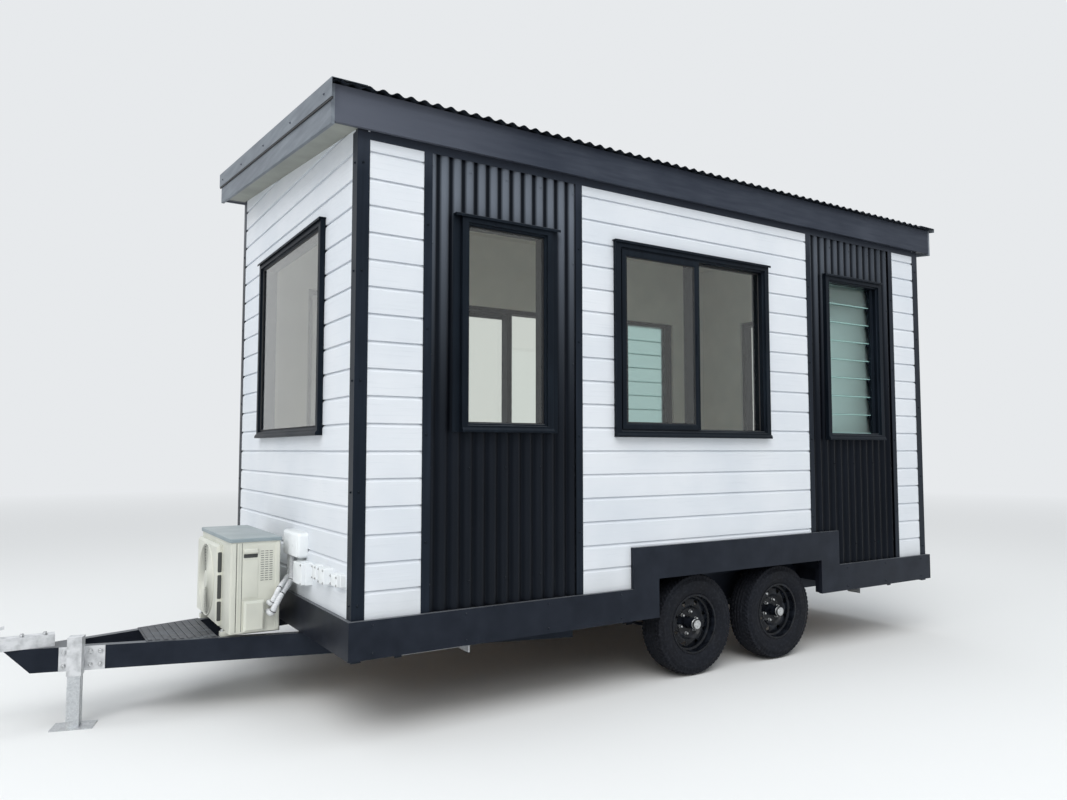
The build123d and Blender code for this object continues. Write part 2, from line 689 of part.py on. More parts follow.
def condenser_casing():
    """Outdoor unit: a casing open at the fan, with a lid, on two feet across the rails."""
    x0 = back(-CONDENSER_BACK[1])
    x1 = back(-CONDENSER_BACK[0])
    y0, y1 = CONDENSER_SIDES
    z0 = condenser_base()
    z1 = z0 + CONDENSER_HEIGHT
    casing = block(x0, x1, y0, y1, z0, z1)
    casing = fillet(casing.edges().filter_by(Axis.Z), CONDENSER_CORNER)
    low, high = FRONT_PANEL_RISE
    panel = block(x0 - FRONT_PANEL_STAND, x0, *FRONT_PANEL_SIDES, z0 + low, z0 + high)
    casing += chamfer(panel.faces().sort_by(Axis.X)[0].edges(), FRONT_PANEL_CHAMFER)
    mouth = Cylinder(FAN_RADIUS, FAN_DEPTH, align=STANDING)
    casing -= fan_place() * mouth
    lap = LID_LAP
    lid = block(x0 - lap, x1 + lap, y0 - lap, y1 + lap, z1, z1 + LID_HEIGHT)
    casing += chamfer(lid.edges().filter_by(Axis.Z), LID_CHAMFER)
    far_in, near_in = VALVE_COVER_BACK[1], VALVE_COVER_BACK[0]
    low, high = VALVE_COVER_RISE
    cover = block(x1 - far_in, x1 - near_in, y0 - VALVE_COVER_STAND, y0, z0 + low, z0 + high)
    casing += chamfer(cover.faces().sort_by(Axis.Y)[0].edges(), VALVE_COVER_CHAMFER)
    half = (y1 - y0) / 2
    for share in (-FOOT_SHARE, FOOT_SHARE):
        y = CONDENSER_MIDDLE + share * half
        foot = block(x0 - FOOT_REACH, x1 + FOOT_REACH, y - FOOT_HALF, y + FOOT_HALF, MAIN_RAIL_BOTTOM, z0)
        casing += foot
    return casing


def condenser_guard():
    """Fan guard: concentric rings on spokes, over the fan's mouth."""
    thick = 2 * GUARD_WIRE
    guard = tube_ring(FAN_RADIUS + GUARD_LAP, FAN_RADIUS - thick, thick)
    for index in range(1, GUARD_RINGS):
        radius = FAN_RADIUS * index / GUARD_RINGS
        guard += tube_ring(radius + GUARD_WIRE, radius - GUARD_WIRE, thick)
    for index in range(GUARD_SPOKES):
        spoke = Box(2 * FAN_RADIUS, 2 * GUARD_WIRE, thick, align=STANDING)
        guard += Rot(0, 0, 180 * index / GUARD_SPOKES) * spoke
    guard += Cylinder(GUARD_HUB, thick, align=STANDING)
    return fan_place() * Pos(0, 0, -thick) * guard


# Running gear


def tyre_profile():
    """Half section of the tyre: tread, shoulders, side walls and bead."""
    half = TYRE_WIDTH / 2
    tread = TYRE_RADIUS
    bead_half = half - BEAD_INSET
    side_wall_line = [
        (bead_half, RIM_RADIUS),
        (bead_half, RIM_LIP + BEAD_STAND),
        (half, (TYRE_RADIUS + RIM_LIP) / 2),
        (half - SHOULDER_INSET, TYRE_RADIUS - SHOULDER_DROP),
        (half - TREAD_INSET, tread),
    ]
    top, bottom = GROOVE_WIDTHS[0] / 2, GROOVE_WIDTHS[1] / 2
    points = [(-y, r) for y, r in side_wall_line]
    for groove in range(GROOVE_COUNT):
        middle = (groove - (GROOVE_COUNT - 1) / 2) * GROOVE_SPACING
        points.append((middle - top, tread))
        points.append((middle - bottom, tread - GROOVE_DEPTH))
        points.append((middle + bottom, tread - GROOVE_DEPTH))
        points.append((middle + top, tread))
    points += reversed(side_wall_line)
    return points


def tyre(distance, side):
    """One tyre, turned about its axle."""
    points = [(0, y, z) for y, z in tyre_profile()]
    section = make_face(Polyline(*points, close=True))
    ring = revolve(section, axis=Axis.Y)
    return Pos(back(distance), side * TYRE_MIDDLE, HUB_HEIGHT) * ring


def rim(distance, side):
    """Steel rim: stepped barrel, dished disc with spoke windows, hub and cap."""
    outer = -TYRE_WIDTH / 2 + BEAD_INSET
    sheet = RIM_SHEET
    seat = RIM_RADIUS - BEAD_GAP
    well = seat - WELL_DROP
    half_barrel = [
        (-BEAD_GAP, seat),
        (-BEAD_GAP, RIM_LIP),
        (-BEAD_GAP - sheet, RIM_LIP),
        (-BEAD_GAP - sheet, seat - sheet),
        (WELL_START[0], seat - sheet),
        (WELL_START[1], well),
    ]
    inner_barrel = [(WELL_START[1] + sheet / 2, well + sheet), (WELL_START[0] + sheet / 2, seat)]
    barrel = [(outer + y, r) for y, r in half_barrel]
    barrel += [(-outer - y, r) for y, r in reversed(half_barrel)]
    barrel += [(-outer - y, r) for y, r in reversed(inner_barrel)]
    barrel += [(outer + y, r) for y, r in inner_barrel]
    disc_face = outer + DISC_INSET
    ring, edge = disc_face - DISC_RISES[0], disc_face - DISC_RISES[1]
    flat_radius, ring_radius = DISC_RADII
    disc = [
        (disc_face, STUB_RADIUS),
        (disc_face, flat_radius),
        (ring, ring_radius),
        (edge, well),
        (edge + sheet, well),
        (ring + sheet, ring_radius + sheet / 2),
        (disc_face + sheet, flat_radius + sheet / 2),
        (disc_face + sheet, STUB_RADIUS),
    ]
    wheel = revolve(make_face(Polyline(*[(0, y, z) for y, z in barrel], close=True)), axis=Axis.Y)
    wheel += revolve(make_face(Polyline(*[(0, y, z) for y, z in disc], close=True)), axis=Axis.Y)
    half_width, window_top, window_foot = SPOKE_WINDOW
    window = [(-half_width, window_top), (half_width, window_top), (0, window_foot)]
    cutter = prism([(x, outer, z) for x, z in window], (0, TYRE_WIDTH, 0))
    for index in range(SPOKE_COUNT):
        wheel -= Rot(0, 360 / SPOKE_COUNT * (index + 0.5), 0) * cutter
    hub_back = disc_face + HUB_BEHIND
    hub_face = hub_back - HUB_LENGTH
    hub = Cylinder(HUB_RADIUS, HUB_LENGTH, rotation=(90, 0, 0))
    wheel += Pos(0, hub_back - HUB_LENGTH / 2, 0) * hub
    cap = Cylinder(HUB_RADIUS - CAP_STEP, CAP_LENGTH, rotation=(90, 0, 0))
    wheel += Pos(0, hub_face - CAP_LENGTH / 2, 0) * cap
    bore = Cylinder(STUB_RADIUS + STUB_CLEARANCE, STUB_BORE, rotation=(90, 0, 0))
    wheel -= Pos(0, hub_back - STUB_BORE / 2, 0) * bore
    wheel = Pos(0, -TYRE_MIDDLE, 0) * wheel
    if side > 0:
        wheel = far_copy(wheel)
    return Pos(back(distance), 0, HUB_HEIGHT) * wheel


def axles():
    """Square axle beams with a round stub at each end."""
    beams = []
    hub_back = TYRE_OUTER - BEAD_INSET - DISC_INSET - HUB_BEHIND
    stub_end = hub_back + STUB_REACH
    beam_end = hub_back - BEAM_CLEARANCE
    for distance in AXLES:
        beam = Box(AXLE_SQUARE, 2 * beam_end, AXLE_SQUARE)
        stub = Cylinder(STUB_RADIUS, 2 * stub_end, rotation=(90, 0, 0))
        beams.append(Pos(back(distance), 0, HUB_HEIGHT) * (beam + stub))
    return Compound(children=beams)


def leaf(span, drop, low_z):
    """One curved spring leaf along X, lowest at its middle."""
    half = span / 2
    top = ThreePointArc((-half, 0, drop), (0, 0, 0), (half, 0, drop))
    under = drop - SPRING_LEAF
    bottom = ThreePointArc((half, 0, under), (0, 0, -SPRING_LEAF), (-half, 0, under))
    ends = [Line(top @ 1, bottom @ 0), Line(bottom @ 1, top @ 0)]
    section = make_face([top, ends[0], bottom, ends[1]])
    return Pos(0, -SPRING_WIDTH / 2, low_z) * extrude(section, amount=SPRING_WIDTH, dir=(0, 1, 0))


def leaf_pack():
    """Stack of leaves with eyes at the ends of the longest."""
    pack = None
    for index in range(SPRING_LEAVES):
        share = 1 - index / (SPRING_LEAVES + 0.5)
        drop = SPRING_SAG * share * share
        piece = leaf(SPRING_SPAN * share, drop, -index * SPRING_LEAF)
        pack = piece if pack is None else pack + piece
    for end in (-1, 1):
        eye = Cylinder(SPRING_EYE, SPRING_WIDTH, rotation=(90, 0, 0))
        pack += Pos(end * SPRING_SPAN / 2, 0, SPRING_SAG - SPRING_LEAF / 2) * eye
    return pack


def springs():
    """Leaf packs under the axles, with their hangers on the main rails."""
    pieces = []
    seat = HUB_HEIGHT - AXLE_SQUARE / 2 - SPRING_SEAT_GAP
    eye_z = seat + SPRING_SAG - SPRING_LEAF / 2
    for _, side in SIDES:
        y = side * MAIN_RAIL_CENTRE
        group = None
        for distance in AXLES:
            pack = Pos(back(distance), y, seat) * leaf_pack()
            group = pack if group is None else group + pack
            for end in (-1, 1):
                x = back(distance) + end * SPRING_SPAN / 2
                for cheek in (-1, 1):
                    y_mid = y + cheek * (SPRING_WIDTH / 2 - HANGER_SHEET / 2)
                    group += block(
                        x - HANGER_LENGTH / 2,
                        x + HANGER_LENGTH / 2,
                        y_mid - HANGER_SHEET / 2,
                        y_mid + HANGER_SHEET / 2,
                        eye_z - SPRING_EYE,
                        MAIN_RAIL_BOTTOM,
                    )
        pieces.append(group)
    return Compound(children=pieces)


def steady(end, side):
    """Folded corner steady: arm and foot, hinged on a bracket under the cross member."""
    toward = 1 if end == 0 else -1
    x_pin = back(STEADY_INSET if end == 0 else WALL_LENGTH - STEADY_INSET)
    y = side * STEADY_SIDE
    z = steady_pin_height()
    half = STEADY_WIDTH / 2
    depth = STEADY_DEPTH / 2
    arm = block(x_pin, x_pin + toward * STEADY_LENGTH, y - half, y + half, z - depth, z + depth)
    x_tip = x_pin + toward * STEADY_LENGTH
    x_foot = x_tip + toward * STEADY_FOOT_SHEET
    foot = block(x_tip, x_foot, y - STEADY_FOOT / 2, y + STEADY_FOOT / 2, z - STEADY_FOOT_DROP, z + depth)
    knuckle = Pos(x_pin, y, z) * Cylinder(depth, STEADY_WIDTH, rotation=(90, 0, 0))
    pin = Pos(x_pin, y, z) * Cylinder(STEADY_PIN + STUB_CLEARANCE, 2 * STEADY_WIDTH, rotation=(90, 0, 0))
    return arm + foot + knuckle - pin


def steady_pin_height():
    """Height of the steadies' pivots below the edge rails."""
    return SKIRT_BOTTOM - STEADY_DROP + STEADY_DEPTH / 2


def steady_brackets():
    """Two ears and a pin for each corner steady, hung from a plate on the chassis."""
    pieces = []
    z = steady_pin_height()
    half = STEADY_CHEEK_LENGTH / 2
    inside = STEADY_WIDTH / 2 + STEADY_CHEEK_GAP
    outside = inside + STEADY_CHEEK
    for end in (0, 1):
        x_pin = back(STEADY_INSET if end == 0 else WALL_LENGTH - STEADY_INSET)
        for _, side in SIDES:
            y = side * STEADY_SIDE
            group = block(x_pin - half, x_pin + half, y - outside, y + outside, SKIRT_BOTTOM, DECK_BOTTOM)
            for cheek in (-1, 1):
                y0 = y + cheek * inside
                y1 = y + cheek * outside
                group += block(x_pin - half, x_pin + half, y0, y1, z - STEADY_CHEEK_DROP, SKIRT_BOTTOM)
            group += Pos(x_pin, y, z) * Cylinder(STEADY_PIN, 2 * outside, rotation=(90, 0, 0))
            pieces.append(group)
    return Compound(children=pieces)


# Walls


def side_wall(side):
    """Framed and lined long wall with its openings cut through."""
    y0 = side * FRAME_FACE
    y1 = side * FRAME_INSIDE
    x0 = back(BOARD_THICKNESS)
    x1 = back(WALL_LENGTH - BOARD_THICKNESS)
    wall = sloped_wall(x0, x1, min(y0, y1), max(y0, y1), DECK_TOP, -ROOF_DEPTH)
    if side < 0:
        wall -= side_hole(FIXED_WINDOW, side, FRAME_LAP)
    else:
        wall -= door_hole(FRAME_LAP)
    wall -= side_hole(SLIDING_WINDOW, side, FRAME_LAP)
    wall -= side_hole(LOUVRE_WINDOW, side, FRAME_LAP)
    return wall - wheel_hole(side, 0)


def end_wall(end):
    """Framed and lined end wall between the long walls, with its window cut through."""
    inward = 1 if end == 0 else -1
    x0 = back(end * WALL_LENGTH) + inward * BOARD_THICKNESS
    x1 = x0 + inward * FRAME_THICKNESS
    wall = sloped_wall(min(x0, x1), max(x0, x1), -FRAME_INSIDE, FRAME_INSIDE, DECK_TOP, -ROOF_DEPTH)
    return wall - end_hole(END_WINDOW, end, FRAME_LAP)


def side_panels():
    """The two corrugated stretches of a long wall."""
    return (FRONT_PANEL, REAR_PANEL)


def side_boards(side):
    """Board cladding between the corrugated panels of a long wall."""
    y0 = side * FRAME_FACE
    y1 = side * HALF_WIDTH
    edges = [0.0, FRONT_PANEL[0], FRONT_PANEL[1], REAR_PANEL[0], REAR_PANEL[1], WALL_LENGTH]
    strips = []
    for index in (0, 2, 4):
        x0 = back(edges[index])
        x1 = back(edges[index + 1])
        strip = sloped_wall(x0, x1, min(y0, y1), max(y0, y1), BOARD_EDGE, -ROOF_DEPTH)
        if index == 2:
            strip -= side_hole(SLIDING_WINDOW, side, FRAME_LAP)
            strip -= wheel_hole(side, 0)
        strips.append(strip)
    return Compound(children=strips)


def end_boards():
    """Board cladding of the front and rear walls."""
    slabs = []
    half = FRAME_FACE - BOARD_JOINT_GAP
    for end in (0, 1):
        inward = 1 if end == 0 else -1
        x0 = back(end * WALL_LENGTH)
        x1 = x0 + inward * BOARD_THICKNESS
        slab = sloped_wall(min(x0, x1), max(x0, x1), -half, half, BOARD_EDGE, -ROOF_DEPTH)
        slabs.append(slab - end_hole(END_WINDOW, end, FRAME_LAP))
    return Compound(children=slabs)


def wave_points(length):
    """Section of a corrugated sheet along X: the upper line, then the lower one back."""
    step = WAVE_PITCH / WAVE_STEPS
    count = int(length // step)
    upper = []
    for index in range(count + 1):
        x = index * step
        height = WAVE_DEPTH / 2 * (1 - math.cos(2 * math.pi * x / WAVE_PITCH))
        upper.append((x, height + SHEET_THICKNESS))
    lower = [(x, height - SHEET_THICKNESS) for x, height in reversed(upper)]
    return upper + lower


def corrugated_panels():
    """Wall sheets with upright waves, cut round the windows and the door."""
    sheets = []
    for _, side in SIDES:
        openings = [FIXED_WINDOW if side < 0 else DOOR, LOUVRE_WINDOW]
        for panel, opening in zip(side_panels(), openings):
            length = panel[1] - panel[0]
            profile = wave_points(length)
            top = roof_line(side * HALF_WIDTH, -ROOF_DEPTH) - PANEL_TOP_GAP
            y_seat = side * FRAME_FACE
            points = [(back(panel[0]) + x, y_seat + side * h, BOARD_EDGE) for x, h in profile]
            sheet = prism(points, (0, 0, top - BOARD_EDGE))
            if opening is DOOR:
                sheet -= door_hole(FRAME_LAP)
            else:
                sheet -= side_hole(opening, side, FRAME_LAP)
            sheet -= wheel_hole(side, 0)
            sheets.append(sheet)
    return Compound(children=sheets)


def corner_trims():
    """Folded angles that cover the four outside corners."""
    trims = []
    for x_face, out in ((back(0), -1), (back(WALL_LENGTH), 1)):
        for _, side in SIDES:
            y_face = side * HALF_WIDTH
            height = soffit_line(y_face) - TRIM_TOP_GAP - PITCH_TAN * CORNER_TRIM
            x0 = x_face + out * TRIM_SHEET
            y0 = y_face + side * TRIM_SHEET
            leg_x = block(x0, x_face - out * CORNER_TRIM, y_face, y0, BOARD_EDGE, height)
            leg_y = block(x_face, x0, y0, y_face - side * CORNER_TRIM, BOARD_EDGE, height)
            trims.append(leg_x + leg_y)
    return Compound(children=trims)


def panel_trims():
    """Flat strips beside the corrugated panels and under both eaves."""
    trims = []
    for _, side in SIDES:
        y0 = side * HALF_WIDTH
        y1 = y0 + side * TRIM_SHEET
        head_top = soffit_line(y0) - TRIM_TOP_GAP
        head_bottom = head_top - HEAD_TRIM
        x0 = back(CORNER_TRIM)
        x1 = back(WALL_LENGTH - CORNER_TRIM)
        group = block(x0, x1, y0, y1, head_bottom, head_top)
        for panel in side_panels():
            for index, edge in enumerate(panel):
                middle = back(edge) + (EDGE_TRIM_LAP if index == 0 else -EDGE_TRIM_LAP)
                bottom = BOARD_EDGE
                over_arch = back(ARCH_REAR + ARCH_BAND) > middle > back(ARCH_FRONT - ARCH_BAND)
                if over_arch:
                    bottom = up(ARCH_HEAD) + ARCH_BAND
                group += block(middle - EDGE_TRIM / 2, middle + EDGE_TRIM / 2, y0, y1, bottom, head_bottom)
        trims.append(group)
    return Compound(children=trims)


# Windows and door


def frame_ring(width, height, bar, y0, y1):
    """Rectangular ring in the XZ plane, from y0 to y1."""
    ring = block(0, width, y0, y1, 0, height)
    past = THIN_PAST
    return ring - block(bar, width - bar, y0 - past, y1 + past, bar, height - bar)


def window_frame(width, height):
    """Box frame: a proud ring, a spigot in the wall, a head flashing and a sill nose."""
    proud = frame_ring(width, height, FRAME_BAR, -FRAME_STAND, 0)
    inset = FRAME_LAP + SPIGOT_GAP
    spigot = block(inset, width - inset, 0, FRAME_REACH, inset, height - inset)
    past = THIN_PAST
    spigot -= block(FRAME_BAR, width - FRAME_BAR, -past, FRAME_REACH + past, FRAME_BAR, height - FRAME_BAR)
    head = block(-HEAD_LAP, width + HEAD_LAP, -FRAME_STAND - HEAD_STAND, 0, height, height + HEAD_SHEET)
    nose = block(0, width, -FRAME_STAND - HEAD_STAND, -FRAME_STAND, 0, FRAME_BAR / 2)
    return proud + spigot + head + nose


def place_side(opening, side, shape):
    """Carry a window drawn from its own lower corner to a long wall."""
    placed = Pos(back(opening[0]), -HALF_WIDTH, up(opening[2])) * shape
    return placed if side < 0 else far_copy(placed)


def place_end(opening, end, shape):
    """Carry a window drawn from its own lower corner to an end wall."""
    if end == 0:
        return Pos(back(0), opening[1] - HALF_WIDTH, up(opening[2])) * Rot(0, 0, -90) * shape
    return Pos(back(WALL_LENGTH), opening[0] - HALF_WIDTH, up(opening[2])) * Rot(0, 0, 90) * shape


def opening_size(opening):
    """Width and height of an opening."""
    return opening[1] - opening[0], opening[3] - opening[2]


def fixed_window_frame():
    """Frame of the fixed window in the front panel, with a flat flashing down each side."""
    width, height = opening_size(FIXED_WINDOW)
    frame = window_frame(width, height)
    head_z = height + HEAD_SHEET
    for x0, x1 in ((-FLASHING_WIDTH, 0), (width, width + FLASHING_WIDTH)):
        frame += block(x0, x1, -FLASHING_STAND, 0, 0, height)
        frame += block(x0, x1, -FRAME_STAND - HEAD_STAND, 0, height, head_z)
    return place_side(FIXED_WINDOW, -1, frame)


def end_window_frames():
    """Frames of the single windows in both end walls."""
    frame = window_frame(*opening_size(END_WINDOW))
    return Compound(children=[place_end(END_WINDOW, end, frame) for end in (0, 1)])


def sliding_window_frame():
    """Frame with its middle post behind the outer sliding sash on the left half."""
    width, height = opening_size(SLIDING_WINDOW)
    frame = window_frame(width, height)
    middle = width / 2
    half = MULLION_WIDTH / 2
    sash_face = OUTER_SASH_DEPTH - FRAME_STAND
    sash_back = sash_face + SASH_THICKNESS
    frame += block(middle - half, middle + half, sash_back, FRAME_REACH, FRAME_BAR, height - FRAME_BAR)
    sash_width = middle + SASH_BAR / 2 - FRAME_BAR
    sash = frame_ring(sash_width, height - 2 * FRAME_BAR, SASH_BAR, sash_face, sash_back)
    return frame + Pos(FRAME_BAR, 0, FRAME_BAR) * sash


def louvre_window_frame():
    """Frame with a gallery channel down each side to hold the blades."""
    width, height = opening_size(LOUVRE_WINDOW)
    frame = window_frame(width, height)
    inset = GALLERY_INSET
    for x0 in (FRAME_BAR, width - FRAME_BAR - GALLERY_WIDTH):
        frame += block(x0, x0 + GALLERY_WIDTH, inset, FRAME_REACH - inset, FRAME_BAR, height - FRAME_BAR)
    return frame


def louvre_blades():
    """Glass blades, each leaning in so that it laps the one below."""
    width, height = opening_size(LOUVRE_WINDOW)
    inside = FRAME_BAR + GALLERY_WIDTH
    length = width - 2 * inside
    lean = math.radians(BLADE_LEAN)
    blade_height = BLADE_WIDTH * math.cos(lean) + BLADE_THICKNESS * math.sin(lean)
    clear = height - 2 * FRAME_BAR - 2 * GLASS_GAP
    pitch = (clear - blade_height) / (BLADE_COUNT - 1)
    sets = []
    for _, side in SIDES:
        for index in range(BLADE_COUNT):
            z = FRAME_BAR + GLASS_GAP + blade_height / 2 + pitch * index
            blade = Box(length, BLADE_THICKNESS, BLADE_WIDTH)
            blade = Pos(width / 2, BLADE_SETBACK, z) * Rot(BLADE_LEAN, 0, 0) * blade
            sets.append(place_side(LOUVRE_WINDOW, side, blade))
    return Compound(children=sets)


def entry_door_frame():
    """Door frame with its threshold, in the far wall."""
    width, height = opening_size(DOOR)
    proud = frame_ring(width, height, FRAME_BAR, -FRAME_STAND, 0)
    inset = FRAME_LAP + SPIGOT_GAP
    floor = DECK_TOP - up(DOOR[2])
    spigot = block(inset, width - inset, 0, FRAME_REACH, floor, height - inset)
    past = THIN_PAST
    spigot -= block(FRAME_BAR, width - FRAME_BAR, -past, FRAME_REACH + past, FRAME_BAR, height - FRAME_BAR)
    head = block(-HEAD_LAP, width + HEAD_LAP, -FRAME_STAND - HEAD_STAND, 0, height, height + HEAD_SHEET)
    return place_side(DOOR, 1, proud + spigot + head)


def entry_door():
    """Half glazed door leaf with a lower panel, a mid rail and a lever handle."""
    width, height = opening_size(DOOR)
    leaf_width = width - 2 * FRAME_BAR
    leaf_height = height - 2 * FRAME_BAR
    stile = DOOR_STILE
    lock = DOOR_LOCK_HEIGHT
    sill = lock + DOOR_GLASS_SILL
    near, past = -THIN_PAST, DOOR_LEAF + THIN_PAST
    door = block(0, leaf_width, 0, DOOR_LEAF, 0, leaf_height)
    door -= block(stile, leaf_width - stile, near, past, sill, leaf_height - stile)
    panel_low = stile + DOOR_GLASS_SILL
    door -= block(stile, leaf_width - stile, near, DOOR_PANEL_DEPTH, panel_low, lock - DOOR_GLASS_SILL)
    left, right, below, above = DOOR_HANDLE_PLATE
    plate = block(leaf_width - left, leaf_width - right, -FLASHING_STAND, 0, lock - below, lock + above)
    thick, tall = DOOR_LEVER_SECTION
    x_hub = leaf_width - (left + right) / 2
    z_hub = lock + above / 2
    stand = DOOR_LEVER_STAND
    half = tall / 2
    lever = block(x_hub - DOOR_LEVER, x_hub + half, -stand, thick - stand, z_hub - half, z_hub + half)
    half = thick / 2
    post = block(x_hub - half, x_hub + half, thick - stand, 0, z_hub - half, z_hub + half)
    return place_side(DOOR, 1, Pos(FRAME_BAR, DOOR_SETBACK, FRAME_BAR) * (door + plate + lever + post))


def pane(x0, x1, y, z0, z1):
    """Sheet of glass in a window's own frame."""
    return block(x0, x1, y, y + GLASS_THICKNESS, z0, z1)


def window_glass():
    """Every fixed sheet of glass, seated in its frame."""
    panes = []
    bar = FRAME_BAR
    width, height = opening_size(FIXED_WINDOW)
    single = pane(bar, width - bar, FIXED_GLASS_DEPTH - FRAME_STAND, bar, height - bar)
    panes.append(place_side(FIXED_WINDOW, -1, single))
    width, height = opening_size(END_WINDOW)
    single = pane(bar, width - bar, END_GLASS_DEPTH - FRAME_STAND, bar, height - bar)
    for end in (0, 1):
        panes.append(place_end(END_WINDOW, end, single))
    width, height = opening_size(SLIDING_WINDOW)
    middle = width / 2
    sash_left = bar + SASH_BAR
    sash_right = middle - SASH_BAR / 2
    sash_depth = OUTER_SASH_DEPTH + SASH_GLASS_DEPTH - FRAME_STAND
    outer = pane(sash_left, sash_right, sash_depth, sash_left, height - sash_left)
    fixed_left = middle + MULLION_WIDTH / 2
    inner = pane(fixed_left, width - bar, INNER_GLASS_DEPTH - FRAME_STAND, bar, height - bar)
    for _, side in SIDES:
        panes.append(place_side(SLIDING_WINDOW, side, outer))
        panes.append(place_side(SLIDING_WINDOW, side, inner))
    width, height = opening_size(DOOR)
    stile = FRAME_BAR + DOOR_STILE
    sill = FRAME_BAR + DOOR_LOCK_HEIGHT + DOOR_GLASS_SILL
    depth = DOOR_SETBACK + DOOR_LEAF / 2 - GLASS_THICKNESS / 2
    panes.append(place_side(DOOR, 1, pane(stile, width - stile, depth, sill, height - stile)))
    return Compound(children=panes)


# Roof


def roof_ends():
    """X of the roof frame's two ends, inside the barge boards."""
    return back(-FRONT_OVERHANG + FASCIA_THICKNESS), back(WALL_LENGTH + REAR_OVERHANG - FASCIA_THICKNESS)


def roof_panel():
    """Insulated roof frame with its ceiling, in one thickness."""
    x0, x1 = roof_ends()
    y0 = -HALF_WIDTH - LOW_EAVE + FASCIA_THICKNESS
    y1 = HALF_WIDTH + HIGH_EAVE - FASCIA_THICKNESS
    points = [
        (x0, y0, roof_line(y0, -ROOF_DEPTH)),
        (x0, y1, roof_line(y1, -ROOF_DEPTH)),
        (x0, y1, roof_line(y1, 0)),
        (x0, y0, roof_line(y0, 0)),
    ]
    return prism(points, (x1 - x0, 0, 0))


def roof_sheet():
    """Corrugated roof sheet, its waves running down the slope."""
    past = CAPPING_STANDOFF - CAPPING_GAP
    x0 = back(-FRONT_OVERHANG - past)
    x1 = back(WALL_LENGTH + REAR_OVERHANG + past)
    y0 = -HALF_WIDTH - LOW_EAVE - LOW_SHEET_LAP
    y1 = HALF_WIDTH + HIGH_EAVE + HIGH_SHEET_LAP
    points = [(x0 + x, y0, roof_line(y0, h)) for x, h in wave_points(x1 - x0)]
    return prism(points, (0, y1 - y0, (y1 - y0) * PITCH_TAN))


def soffit_board(x0, x1, y0, y1):
    """Board under the roof frame, in the slope of the roof."""
    points = [
        (x0, y0, soffit_line(y0)),
        (x0, y1, soffit_line(y1)),
        (x0, y1, roof_line(y1, -ROOF_DEPTH)),
        (x0, y0, roof_line(y0, -ROOF_DEPTH)),
    ]
    return prism(points, (x1 - x0, 0, 0))


def fascias():
    """Level boards along both eaves with the closing strips behind them."""
    x0, x1 = roof_ends()
    boards = []
    for side, eave in ((-1, LOW_EAVE), (1, HIGH_EAVE)):
        y_face = side * (HALF_WIDTH + eave)
        y_back = y_face - side * FASCIA_THICKNESS
        y_wall = side * HALF_WIDTH
        top = roof_line(min(y_face, y_back), 0)
        board = block(x0, x1, y_face, y_back, top - FASCIA_HEIGHT, top)
        strip = soffit_board(back(0), back(WALL_LENGTH), min(y_back, y_wall), max(y_back, y_wall))
        boards.append(board + strip)
    return Compound(children=boards)


def barge_boards():
    """Sloping boards across both ends of the roof."""
    boards = []
    y0 = -HALF_WIDTH - LOW_EAVE
    y1 = HALF_WIDTH + HIGH_EAVE
    for x0, x1 in (
        (back(-FRONT_OVERHANG), roof_ends()[0]),
        (roof_ends()[1], back(WALL_LENGTH + REAR_OVERHANG)),
    ):
        points = [
            (x0, y0, roof_line(y0, 0) - BARGE_HEIGHT),
            (x0, y1, roof_line(y1, 0) - BARGE_HEIGHT),
            (x0, y1, roof_line(y1, 0)),
            (x0, y0, roof_line(y0, 0)),
        ]
        boards.append(prism(points, (x1 - x0, 0, 0)))
    return Compound(children=boards)


def barge_cappings():
    """Folded cappings over the roof's ends: a face down the barge and a cover on the sheet."""
    cappings = []
    y0 = -HALF_WIDTH - LOW_EAVE - LOW_SHEET_LAP
    y1 = HALF_WIDTH + HIGH_EAVE + HIGH_SHEET_LAP
    crest = WAVE_DEPTH + SHEET_THICKNESS
    run = (0, y1 - y0, (y1 - y0) * PITCH_TAN)
    ends = ((back(-FRONT_OVERHANG), -1), (back(WALL_LENGTH + REAR_OVERHANG), 1))
    for (x_barge, out), face in zip(ends, CAPPING_FACES):
        x_in = x_barge + out * CAPPING_STANDOFF
        x_out = x_in + out * CAPPING_SHEET
        x_cover = x_barge - out * (CAPPING_COVER - CAPPING_STANDOFF)
        z_top = roof_line(y0, crest + CAPPING_SHEET)
        z_under = roof_line(y0, crest)
        points = [
            (x_out, y0, z_top),
            (x_cover, y0, z_top),
            (x_cover, y0, z_under),
            (x_in, y0, z_under),
            (x_in, y0, z_top - face),
            (x_barge, y0, z_top - face),
            (x_barge, y0, z_top - face - CAPPING_SHEET),
            (x_out, y0, z_top - face - CAPPING_SHEET),
        ]
        cappings.append(prism(points, run))
    return Compound(children=cappings)


def soffits():
    """Boards under the overhangs at the front and the rear."""
    x0, x1 = roof_ends()
    low_out = -HALF_WIDTH - LOW_EAVE + FASCIA_THICKNESS
    high_out = HALF_WIDTH + HIGH_EAVE - FASCIA_THICKNESS
    boards = []
    for start, end in ((x0, back(0)), (back(WALL_LENGTH), x1)):
        boards.append(soffit_board(start, end, low_out, high_out))
    return Compound(children=boards)


# Fittings on the front wall


def box_on_front(stand, y0, y1, low, high):
    """Box on the front wall, standing out from it."""
    return block(back(0) - stand, back(0), y0, y1, up(low), up(high))


def wall_boxes():
    """Pipe cover, isolator and inlet boxes low on the front wall."""
    cover = box_on_front(*PIPE_COVER)
    boxes = [chamfer(cover.faces().sort_by(Axis.X)[0].edges(), PIPE_COVER_CHAMFER)]
    for place in SMALL_BOXES:
        boxes.append(box_on_front(*place))
    return Compound(children=boxes)


